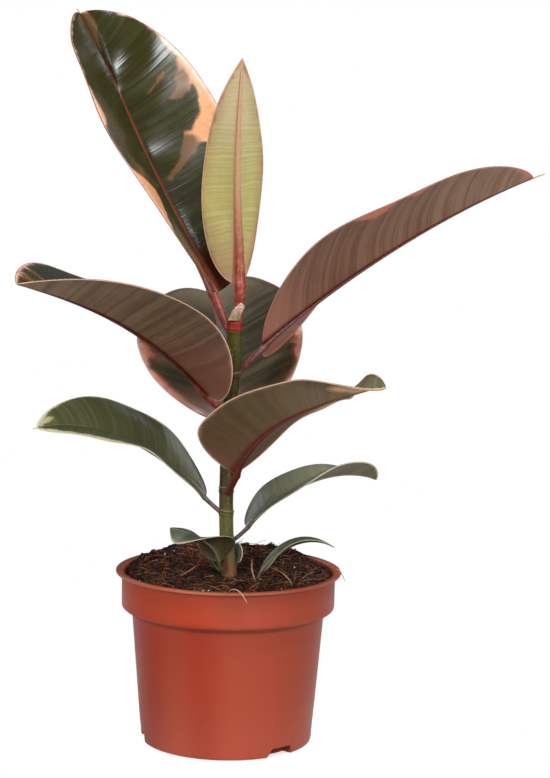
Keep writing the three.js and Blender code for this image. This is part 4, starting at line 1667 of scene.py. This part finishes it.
@dataclass
class Stem:
    """The single stem: a slightly bent rod with a low swelling and a ring scar at each leaf.

    Each scar slants up at its own angle. Ring and groove are each a height over the leaf's node and
    a width. The wound is a healed patch at a height and an angle.
    """

    radius: float = 4.35
    foot_radius: float = 4.9
    foot_height: float = 101.0
    axis: tuple[Triple, ...] = (
        (0.4, 0, 64), (0.5, 0, 101), (-1.5, 0, 126), (-2.2, 0, 157),
        (-1.1, 0, 205), (0.9, 0, 229), (0.7, 0, 252), (1.2, 0, 262),
    )
    low: float = 92.0
    top: float = 262.0
    nodes: tuple[float, ...] = (125.5, 142.5, 156.7, 179, 205, 228.4, 255.5)
    scar_angles: tuple[float, ...] = (20, 180, 285, 92, 230, 18, 168)
    swelling: float = 0.55
    spread: float = 1.5
    scar: float = 0.2
    slant: float = 0.7
    ring: tuple[float, float] = (1.6, 0.5)
    groove: tuple[float, float] = (0.5, 0.35)
    collar: float = 0.35
    collar_height: float = 5.5
    wound: tuple[float, float] = (109.5, 252)
    rows: int = 420
    sides: int = 64

    def build(self) -> None:
        """Builds the stem: circles about the axis curve, at even heights.

        The radius is the stem's, plus a bell curve at the foot, plus at each leaf a bell curve
        1.5 mm wide, a ring scar 0.5 mm wide that slants up on the leaf's side, and faint ridges.
        """
        z = np.linspace(self.low, self.top, self.rows)[:, None]
        turn = np.linspace(0, 2 * np.pi, self.sides, endpoint=False)[None]
        curve = spline(np.array(self.axis, float), 400)
        centre = np.stack([np.interp(z[:, 0], curve[:, 2], curve[:, k]) for k in range(2)], -1)
        foot = np.exp(-(((z - self.foot_height) / 6) ** 2))
        radius = self.radius + (self.foot_radius - self.radius) * foot + 0 * turn
        scar, groove = 0 * radius, 0 * radius
        for height, angle in zip(self.nodes, self.scar_angles):
            over = z - height - self.slant * np.cos(turn - np.radians(angle))
            radius = radius + self.swelling * np.exp(-(((z - height) / self.spread) ** 2))
            ring = np.exp(-(((over - self.ring[0]) / self.ring[1]) ** 2))
            scar = np.maximum(scar, ring)
            groove = np.maximum(groove, np.exp(-(((over - self.groove[0]) / self.groove[1]) ** 2)))
            radius = radius + self.scar * (ring - groove * 0.6)
        radius = radius + 0.1 * np.sin(9 * turn + 0.03 * z) + 0.12 * (hills(turn * 12, z, 9.0) - 0.5)
        collar_foot = self.top - self.collar_height
        radius = radius + self.collar * ease(z, collar_foot - 0.3, collar_foot + 0.3)
        x, y = centre[:, :1] + radius * np.cos(turn), centre[:, 1:] + radius * np.sin(turn)
        cap = 1 - 0.25 * ease(z, self.top - 0.8, self.top)
        x, y = centre[:, :1] + (x - centre[:, :1]) * cap, centre[:, 1:] + (y - centre[:, 1:]) * cap
        grid = np.stack([x, y, z + 0 * turn], -1)
        points, faces = capped(grid)
        height, angle = self.wound
        aside = np.sin((turn - np.radians(angle)) / 2) / 0.32
        wound = np.exp(-(((z - height) / 5.5) ** 2)) * np.exp(-(aside**2))

        def whole(value: Array) -> Array:
            """A number of the grid, for all points."""
            return np.concatenate([value.ravel(), [0, 0]])

        values = {"scar": whole(scar), "groove": whole(groove), "wound": whole(wound)}
        piece = make_piece("stem_bark", points, faces, BarkFinish().material(), values)
        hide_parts("stem")


@dataclass
class DriedSheath:
    """The crumpled dried sheath that the newest leaf has pushed out of."""

    foot: Triple = (0.2, -3.4, 262.4)
    tip: Triple = (5.2, -5.3, 273.0)
    half_widths: tuple[float, ...] = (3.4, 3.2, 2.9, 2.5, 2.3, 1.3)
    half_depths: tuple[float, ...] = (1.2, 1.2, 1.1, 1.1, 1.1, 0.7)
    crumple: float = 0.5
    rows: int = 64
    sides: int = 72

    def build(self) -> None:
        """Builds the sheath: ovals from foot to tip, pleated more and more by two sine waves."""
        v = np.linspace(0, 1, self.rows)[:, None]
        turn = np.linspace(0, 2 * np.pi, self.sides, endpoint=False)[None]
        knots = np.linspace(0, 1, len(self.half_widths))
        width = np.interp(v, knots, self.half_widths)
        depth = np.interp(v, knots, self.half_depths)
        pleats = np.sin(6 * turn + 5 * v) + 0.6 * np.sin(11 * turn - 13 * v + 1)
        lumps = 2 * hills(turn * 3.2, v * 16, 2.3) - 1
        push = 1 + self.crumple * v * (0.5 * pleats + 0.8 * lumps)
        push = push * np.sqrt(np.clip((1 - v) / 0.06, 0.1, 1))
        foot, tip = np.array(self.foot), np.array(self.tip)
        centre = foot * (1 - v[..., None]) + tip * v[..., None]
        offset = np.stack([width * push * np.cos(turn), depth * push * np.sin(turn), 0 * turn + 0 * v], -1)
        offset[..., 2] += 0.7 * v * lumps
        points, faces = capped(centre + offset)
        material = SheathFinish().material(foot[2], tip[2])
        piece = make_piece("crumpled_sheath", points, faces, material)
        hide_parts("stipule_sheath")


# ---------- Studio ----------

COOL = (0.95, 0.97, 1.0)
WARM = (1.0, 0.98, 0.95)
WHITE = (1.0, 1.0, 1.0, 1.0)


@dataclass(frozen=True)
class Softbox:
    """One rectangular light: its place, what it looks at, its two sides, its power and its colour."""

    name: str
    place: Triple
    target: Triple
    size: tuple[float, float]
    power: float
    colour: Triple = (1.0, 1.0, 1.0)

    def build(self) -> None:
        """Hangs the light."""
        data = bpy.data.lights.new(self.name, "AREA")
        data.shape = "RECTANGLE"
        data.size, data.size_y = self.size
        data.energy = self.power
        data.color = self.colour
        light = bpy.data.objects.new(self.name, data)
        bpy.context.scene.collection.objects.link(light)
        light.location = self.place
        way = Vector(self.target) - Vector(self.place)
        light.rotation_euler = way.to_track_quat("-Z", "Y").to_euler()


@dataclass
class Studio:
    """The pale floor, the soft lights and the camera.

    The lights, the floor and its fade are in metres. The dome is light of one strength above the
    horizon and of another below it. It steps between the two heights of the way that a ray goes.
    """

    camera_place: Triple = (26.6, -1312.0, 386.0)
    pitch: float = 7.2
    roll: float = 1.12
    focal_pixels: float = 2150.0
    frame_height: int = 778
    sensor: float = 36.0
    floor_radius: float = 1.6
    floor_drop: float = 0.0004
    floor_sides: int = 96
    floor_tone: str = "f4f2f0"
    fade: tuple[float, float] = (0.06, 0.15)
    glow: float = 0.62
    horizon: tuple[float, float] = (-0.15, 0.1)
    dome: tuple[float, float] = (0.085, 0.5)
    dome_colour: tuple[float, ...] = (1.0, 0.99, 0.98, 1.0)
    lights: tuple[Softbox, ...] = (
        Softbox("overhead", (0.22, -0.615, 1.5), (0.22, -0.615, 0.0), (0.62, 0.3), 12.0, COOL),
        Softbox("overhead_left", (-0.69, -0.03, 1.5), (-0.69, -0.03, 0.0), (0.24, 0.24), 2.8, COOL),
        Softbox("overhead_right", (0.69, -0.4, 1.5), (0.69, -0.4, 0.0), (0.24, 0.24), 3.6, COOL),
        Softbox("strip_left", (-0.36, -1.4, 0.3), (0.0, 0.0, 0.1), (0.1, 0.9), 3.6),
        Softbox("strip_right", (0.74, -1.4, 0.3), (0.0, 0.0, 0.1), (0.1, 0.9), 3.6),
        Softbox("front_left", (-1.1, -1.35, 0.85), (0.0, 0.0, 0.2), (0.5, 1.3), 17.5, WARM),
        Softbox("front_right", (1.2, -1.3, 0.8), (0.0, 0.0, 0.2), (0.5, 1.3), 14.5, WARM),
        Softbox("back_left", (-1.0, 1.2, 1.0), (0.0, 0.0, 0.25), (0.6, 1.0), 3.0),
        Softbox("back_right", (1.0, 1.2, 1.0), (0.0, 0.0, 0.25), (0.6, 1.0), 3.0),
    )

    def camera(self) -> None:
        """Places the camera: pitched down, and rolled about its view."""
        data = bpy.data.cameras.new("camera")
        data.sensor_width = self.sensor
        data.lens = self.focal_pixels / self.frame_height * self.sensor
        data.clip_start, data.clip_end = 0.05, 20.0
        eye = bpy.data.objects.new("camera", data)
        bpy.context.scene.collection.objects.link(eye)
        pitch, roll = math.radians(self.pitch), math.radians(self.roll)
        forward = Vector((0, math.cos(pitch), -math.sin(pitch)))
        right = Vector((1, 0, 0))
        up = right.cross(forward)
        tilted_right = right * math.cos(roll) + up * math.sin(roll)
        tilted_up = up * math.cos(roll) - right * math.sin(roll)
        turn = Matrix((tilted_right, tilted_up, -forward)).transposed().to_4x4()
        eye.matrix_world = Matrix.Translation(Vector(self.camera_place) * MM) @ turn
        bpy.context.scene.camera = eye

    def floor(self) -> None:
        """Lays the floor: a disc that fades to the backdrop's white away from the pot."""
        count = self.floor_sides
        turn = np.linspace(0, 2 * np.pi, count, endpoint=False)
        ring = self.floor_radius * np.stack([np.cos(turn), np.sin(turn), 0 * turn], -1)
        points = np.vstack([ring, [[0, 0, 0]]])
        mesh = bpy.data.meshes.new("floor")
        mesh.from_pydata(points.tolist(), [], fan(np.arange(count), count, True).tolist())
        disc = bpy.data.objects.new("floor", mesh)
        bpy.context.scene.collection.objects.link(disc)
        disc.location.z = -self.floor_drop
        shader = Shader("floor")
        shader.finish(tone(self.floor_tone), 0.85, 0.1)
        glow = shader.times(shader.node("LightPath").outputs["Is Camera Ray"], self.glow)
        shader.feed(shader.surface.inputs["Emission Color"], WHITE)
        shader.feed(shader.surface.inputs["Emission Strength"], glow)
        length = shader.node("VectorMath", {0: shader.place()}, operation="LENGTH").outputs["Value"]
        seen, clear = shader.surface.outputs["BSDF"], shader.node("BsdfTransparent").outputs["BSDF"]
        mix = shader.node("MixShader", {0: shader.step(length, *self.fade), 1: seen, 2: clear})
        shader.feed(shader.output.inputs["Surface"], mix.outputs["Shader"])
        mesh.materials.append(shader.material)

    def backdrop(self) -> None:
        """Sets the world: white where it is seen; as light, bright below the horizon and dim above."""
        world = bpy.data.worlds.new("studio")
        bpy.context.scene.world = world
        world.use_nodes = True
        work = NodeWork(world.node_tree)
        rise = work.node("SeparateXYZ", {"Vector": work.node("TexCoord").outputs["Generated"]}).outputs["Z"]
        strength = work.step(rise, *self.horizon, *self.dome)
        dome = work.node("Background", {"Color": self.dome_colour, "Strength": strength})
        seen = work.node("Background", {"Color": WHITE, "Strength": 1.0})
        ray = work.node("LightPath").outputs["Is Camera Ray"]
        mix = work.node("MixShader", {0: ray, 1: dome.outputs["Background"], 2: seen.outputs["Background"]})
        work.node("OutputWorld", {"Surface": mix.outputs["Shader"]})

    def build(self) -> None:
        """Sets up the camera, the floor, the backdrop, the lights and the picture's tones."""
        self.camera()
        self.floor()
        self.backdrop()
        for light in self.lights:
            light.build()
        view = bpy.context.scene.view_settings
        view.view_transform = "Standard"
        view.look = "None"


# ---------- The plant's leaves ----------

UPPER_LEFT = LeafForm(
    node="leaf_upper_left", base=(-10.9, 1.4, 279), length=243, half_width=63.2,
    heading=(155, 121, 128), rise=(58.5, 44.5, 43), roll=(-4, -14, 18), fold=(18, 25, 51),
    wave=(1.1, 2.6, -0.2), root=(0.4, 0.3, 253.5), leave=(160, 44), stalk=(2.9, 3.2),
    right_band=(
        (0, 0.5), (0.425, 0.8), (0.445, 24), (0.476, 29), (0.5, 25), (0.52, 19.5), (0.55, 14.5),
        (0.575, 12), (0.6, 9.5), (0.635, 7.5), (0.68, 6), (0.72, 4.6), (0.765, 4), (0.8, 2.2), (0.83, 1),
        (0.855, 1), (0.88, 2), (0.9, 0.4), (0.95, 0.4), (1, 2),
    ),
    left_band=(
        (0, 0.4), (0.12, 0.8), (0.15, 6), (0.175, 10), (0.21, 17), (0.24, 19), (0.258, 12), (0.275, 1),
        (0.38, 0.8), (0.405, 4), (0.43, 6), (0.465, 4), (0.49, 1.2), (0.6, 1.2), (0.66, 2.2), (0.72, 1.3),
        (1, 2),
    ),
    strokes=(
        Stroke((0.342, 0.12, 0.4), (0.4, 0.37, 2.9)), Stroke((0.4, 0.37, 2.8), (0.462, 0.55, 6)),
        Stroke((0.7, 0.93, 3.5), (0.648, 0.82, 6.5)), Stroke((0.594, 0.53, 0.8), (0.62, 0.73, 4.6)),
        Stroke((0.626, 0.31, 0.2), (0.675, 0.62, 1.5)), Stroke((0.975, 0.22, 4.5), (0.91, 0.1, 4.6)),
        Stroke((0.91, 0.1, 4.0), (0.825, 0.02, 1.2)),
    ),
    swells=(
        (0.83, 1.0, 1.75), (0.6, 0.49, 0.75), (0.66, 0.91, -0.2), (0.725, -0.12, 1.05), (0.61, 0.23, -1.45),
        (0.415, -0.01, -1.65), (0.79, 1.3, 0.85),
    ),
    drip=0.02, relief=0.35, seed=1.0,
)
NEWEST = LeafForm(
    node="leaf_newest", base=(3.4, -2.6, 284), length=146.5, half_width=27,
    heading=(255, 270, 278), rise=(89, 64, 72), roll=(-40, -9, -7), fold=(42, 46, 32), wave=(0.5, 2, 0),
    root=(2, 2, 255), leave=(290, 88), stalk=(3.3, 3.4),
    left_band=((0, 3), (0.15, 1.8), (0.4, 1.2), (0.7, 1.4), (0.85, 1.6), (0.95, 2), (1, 3)),
    right_band=((0, 4), (0.15, 2.4), (0.4, 1.2), (0.7, 1.8), (0.85, 2), (0.95, 2), (1, 3)),
    taper=(0.55, 0.95), rib_slender=0.85, lean=(-0.25, -0.05), seed=2.0,
)
UPPER_RIGHT = LeafForm(
    node="leaf_upper_right", base=(18.3, 8, 245.5), length=219, half_width=54,
    heading=(40.5, 12, 24.5), rise=(34, 31.5, 18), roll=(56, 22, 23), fold=(8, 20, 27),
    wave=(-2.6, 1.7, 1.1), root=(0.6, 0.3, 226.5), leave=(18, 45), stalk=(2.1, 2.2),
    right_band=(
        (0, 0.2), (0.39, 0.4), (0.425, 8), (0.46, 13), (0.5, 10), (0.54, 2), (0.57, 2), (0.6, 8), (0.63, 2),
        (0.66, 0.2), (0.88, 0.2), (0.93, 5), (0.97, 3), (1, 0.2),
    ),
    left_band=((0, 0.8), (0.3, 5), (0.4, 10), (0.5, 3), (0.7, 1), (0.8, 6), (1, 2)),
    strokes=(Stroke((0.55, -0.8, 4), (0.62, -0.55, 2)),),
    drip=0.04, seed=3.0,
)
MIDDLE_LEFT = LeafForm(
    node="leaf_middle_left", base=(-15.1, -18, 218.7), length=176, half_width=56.5,
    heading=(223.5, 232.5, 227), rise=(43, 23.5, 14), roll=(40, 9, 8), fold=(20, 22, 26),
    wave=(1.6, 1.5, -0.3), root=(-1, -0.3, 203), leave=(230, 35), stalk=(2.1, 2.2),
    right_band=((0, 0.8), (0.3, 3), (0.45, 1), (0.6, 2), (0.7, 3), (0.8, 2.5), (0.88, 2.5), (1, 3)),
    left_band=((0, 0.6), (0.5, 1.0), (1, 1.0)),
    strokes=(Stroke((0.95, 0.98, 4.2), (0.9, 0.25, 3.0)), Stroke((0.88, 0.98, 2.2), (0.84, 0.4, 1.0))),
    seed=4.0,
)
MIDDLE_BACK = LeafForm(
    node="leaf_middle_back", base=(-3, 22, 195.2), length=196, half_width=54.5,
    heading=(95.5, 96.5, 98), rise=(46, 18.5, 5), roll=(-1.5, 10, 11), fold=(11.5, 10, 30.5),
    wave=(-1.2, 2.9, 0), root=(-1.6, 0.5, 178), leave=(92, 35), stalk=(2.1, 2.2),
    right_band=(
        (0, 1.5), (0.16, 3), (0.22, 3), (0.27, 7), (0.33, 5), (0.38, 11), (0.44, 9), (0.5, 3), (0.6, 0.6),
        (0.8, 0.6), (1, 0.6),
    ),
    left_band=(
        (0, 5), (0.08, 7), (0.16, 5), (0.24, 2.4), (0.29, 5.5), (0.34, 7), (0.4, 4), (0.48, 3), (0.6, 1.4),
        (1, 1.2),
    ),
    strokes=(Stroke((0.3, -0.9, 4.0), (0.26, -0.72, 1.2)),),
    seed=5.0,
)
MIDDLE_FRONT = LeafForm(
    node="leaf_middle_front", base=(3.7, -20.7, 170.5), length=141, half_width=39,
    heading=(288, 313, 363), rise=(39.5, 28, 14.5), roll=(1.5, 6.5, 36), fold=(32.5, 17.5, 13),
    wave=(1.2, 2, 0), root=(-1.7, -0.4, 154), leave=(283, 36), stalk=(2.5, 2.5),
    right_band=((0, 1.6), (0.3, 1.2), (0.6, 1.2), (0.8, 1.8), (0.84, 5), (0.92, 9), (1, 2)),
    left_band=((0, 1.0), (0.3, 3), (0.5, 6), (0.7, 3), (0.9, 1.4), (1, 2)),
    strokes=(Stroke((0.83, 0.4, 4.5), (0.89, 0.2, 4.0)),),
    taper=(0.39, 0.43), tip_turn=-62, seed=6.0,
)
LOWER_LEFT = LeafForm(
    node="leaf_lower_left", base=(-14.9, 0, 152.2), length=122, half_width=30.8,
    heading=(183, 193, 205), rise=(45.5, 24.5, -11), roll=(8, 19, 37), fold=(7, 19, 15),
    wave=(-1.3, 2.3, -0.6), root=(-2, 0, 139.5), leave=(180, 42), stalk=(1.4, 1.5),
    right_band=((0, 0.8), (0.5, 1.0), (0.86, 0.9), (0.93, 1.8), (0.98, 3), (1, 2)),
    left_band=((0, 1.2), (0.5, 1.8), (0.8, 2.5), (1, 2)),
    strokes=(Stroke((0.955, 0.34, 1.2), (0.89, 0.42, 0.6)),),
    drip=0.02, seed=7.0,
)
LOWER_RIGHT = LeafForm(
    node="leaf_lower_right", base=(10.6, 4, 133.1), length=103, half_width=27.4,
    heading=(17.5, 28.5, 38), rise=(45.5, 15, -22), roll=(9, 7.5, 20), fold=(10, 15.5, 27.5),
    wave=(0.9, 1.8, 0.3), root=(-1.5, 0.2, 122.3), leave=(20, 30), stalk=(1.4, 1.4),
    right_band=((0, 1.0), (0.4, 1.8), (0.7, 1.6), (1, 1.2)),
    left_band=((0, 0.8), (0.5, 1.1), (1, 1.2)),
    seed=8.0,
)
BASAL_FRONT = LeafForm(
    node="leaf_basal_front", base=(-6, -9, 113.5), length=41, half_width=17,
    heading=(229, 183, 148), rise=(76, 28, 4), roll=(-50, -10, 30), fold=(35, 0, -34), wave=(0.3, 1, 0),
    root=(-0.3, -0.4, 103), leave=(232, 30), stalk=(1.2, 1.2),
    left_band=((0, 0.6), (0.3, 1.4), (0.5, 0.6), (0.7, 1.8), (1, 0.8)),
    right_band=((0, 0.6), (0.25, 1.0), (0.45, 1.6), (0.75, 0.8), (1, 1.2)),
    seed=9.0,
)
BASAL_LEFT = LeafForm(
    node="leaf_basal_left", base=(-5, 1.6, 106), length=16, half_width=7.6,
    heading=(170, 176, 198), rise=(24, 60, 62), roll=(-34, -30, -26), fold=(2, 6, 28), wave=(0, 1, 0),
    root=(-0.3, 0.4, 103.3), leave=(170, 20), stalk=(0.9, 0.9),
    seed=10.0,
)
BASAL_RIGHT = LeafForm(
    node="leaf_basal_right", base=(5, 1, 110.5), length=14, half_width=4.5,
    heading=(22, 24, 52), rise=(51, 90, 116), roll=(-12, -9, -3), fold=(13, 13, 16), wave=(0, 1, 0),
    root=(0.4, 0.1, 108.5), leave=(22, 25), stalk=(0.8, 0.8),
    seed=11.0,
)
BASAL_STRAP = LeafForm(
    node="leaf_basal_strap", base=(19.6, -7.8, 107), length=55, half_width=7.9,
    heading=(-4, -16, -10), rise=(52, 26, -30), roll=(-28, -9, 19), fold=(-5, 17, 7), wave=(0, 1, 0),
    root=(15.6, -8, 93), leave=(0, 78), stalk=(1.1, 1.1),
    taper=(0.6, 0.9), seed=12.0,
)

GLOSSY = LeafFinish(upper="2d2a0d", upper_light="3f431b", base_upper="6a281b", gloss=0.18, shine=0.62)
FRESH = LeafFinish(
    upper="5d6b30", upper_light="7d8a48", under="c3bb6e", under_light="e3d8a2", rib_upper="b5805e",
    rib_under="cda079", stalk="863828", stalk_light="b0604a", pale="dcaa88", tan="c29a72", dusk="8d8a52",
    pale_under="ac805e", edge_upper="c98f74", edge_under="dcb79a", base_under="c09a70", far_tint_and_sheen_under="dcc2b4",
    rib_shade="9c5038", rib_reach=0.55, base_reach=0.3, gloss=0.3, edge_wash=0.6, under_roughness=0.42,
    under_stripes=0.5, fine_spacing=1.15, broad_spacing=2.1,
)
TAUPE_PINK = LeafFinish(
    under="683e28", under_light="876249", rib_under="62291f", stalk="4e1c18", stalk_light="6e332b",
    pale_under="d27a5c", edge_under="a5806a", base_under="a86a56", far_tint_and_sheen_under="947a66", rib_shade="52211a",
    base_reach=0.26, blur=3.0, under_stripes=0.7,
)
TAUPE = LeafFinish(
    upper="2a3020", upper_light="454b34", under="533a25", under_light="75593e", rib_under="4e1e19",
    pale="dfae95", edge_under="e0c2ab", base_under="864a3b", far_tint_and_sheen_under="806a50", rib_shade="4a1c18",
    base_reach=0.42, blur=3.0,
)
GREY_GREEN = LeafFinish(
    upper="302c1c", upper_light="524a36", rib_upper="6b4434", base_upper="74564a", pale="c8765e",
    blush="dcae9e", tan="6a4a3a", dusk="4a3826", edge_upper="d8a496", far_sheen_upper="95846a", far_sheen_share=0.7,
    gloss=0.3, blur=4.5, stripes=0.85,
)
OLIVE_BACK = LeafFinish(
    upper="57543c", upper_light="79745a", under="57452a", under_light="705c40", rib_under="5c281f",
    stalk="5a2018", stalk_light="743026", pale="d8c6a6", tan="a58e6e", pale_under="dba982",
    edge_under="d9c3a6", base_under="74503a", far_tint_and_sheen_under="74603f", base_reach=0.45, blur=3.0,
    under_stripes=0.45,
)
OLIVE = LeafFinish(
    upper="4e5335", upper_light="717450", under="7d7660", under_light="a39c84", rib_upper="6b6a48",
    rib_highlight="8d8a64", base_upper="4a4a30", rib_under="6a5a40", stalk="4f3f38", stalk_light="6f5e52",
    pale="d9d3ac", blush="e2dcc0", tan="a9a37a", dusk="6c7048", pale_under="cfc7a4", edge_upper="b9b294",
    edge_under="d8cfb8", base_under="6c6248", far_tint_and_sheen_under="a39c84", rib_shade="6a5a40", gloss=0.32,
    stripes=0.45,
)
SAGE = LeafFinish(
    upper="7b7f64", upper_light="94987c", under="5b5239", under_light="746a4e", rib_upper="a9a283",
    rib_highlight="c9c2a6", base_upper="22241a", rib_under="8d8668", stalk="4a3836", stalk_light="6f5c56",
    pale="c9c2aa", blush="dcd6c2", tan="8f8c72", dusk="6a6c56", pale_under="c2b795", edge_upper="c9c0a6",
    edge_under="d3c8b0", base_under="5c5440", far_tint_and_sheen_under="746a4e", rib_shade="8d8668", upper_reach=0.75,
    gloss=0.33, stripes=0.45,
)
BASAL = LeafFinish(
    upper="596250", upper_light="788070", under="3a341d", under_light="554d30", rib_upper="8f947e",
    rib_under="6c6648", stalk="4c4a30", stalk_light="66623f", pale="cfc6a8", tan="9a967a", dusk="777b64",
    pale_under="5f5a3c", edge_upper="d3c8a8", edge_under="6b6645", base_under="4a4326", far_tint_and_sheen_under="554d30",
    rib_shade="4a4326", gloss=0.38, stripes=0.6,
)
BASAL_DARK = LeafFinish(
    upper="4a5038", upper_light="656a50", under="3a3824", under_light="4f4c34", rib_upper="6f7358",
    rib_under="5e5e44", stalk="43402a", stalk_light="5a5638", pale="b9b698", edge_upper="9a9c80",
    edge_under="9a9c80", base_under="4a4830", far_tint_and_sheen_under="5f5d44", rib_shade="4a4830", gloss=0.36,
)

LEAVES = (
    (UPPER_LEFT, GLOSSY, "leaf"),
    (NEWEST, FRESH, "young_leaf"),
    (UPPER_RIGHT, TAUPE_PINK, "leaf"),
    (MIDDLE_LEFT, TAUPE, "leaf"),
    (MIDDLE_BACK, GREY_GREEN, "leaf"),
    (MIDDLE_FRONT, OLIVE_BACK, "leaf"),
    (LOWER_LEFT, OLIVE, "leaf"),
    (LOWER_RIGHT, SAGE, "leaf"),
    (BASAL_FRONT, BASAL, "basal_leaf"),
    (BASAL_LEFT, BASAL_DARK, "basal_leaf"),
    (BASAL_RIGHT, BASAL, "basal_leaf"),
    (BASAL_STRAP, BASAL_DARK, "basal_leaf"),
)


def main() -> None:
    """Builds the studio and the plant."""
    logging.basicConfig(level=logging.INFO, format="%(name)s: %(message)s")
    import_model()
    Studio().build()
    NurseryPot().build()
    SoilFilling().build()
    Stem().build()
    DriedSheath().build()
    for form, finish, slot in LEAVES:
        RubberLeaf(form, finish).build(slot)


if __name__ == "__main__":
    main()
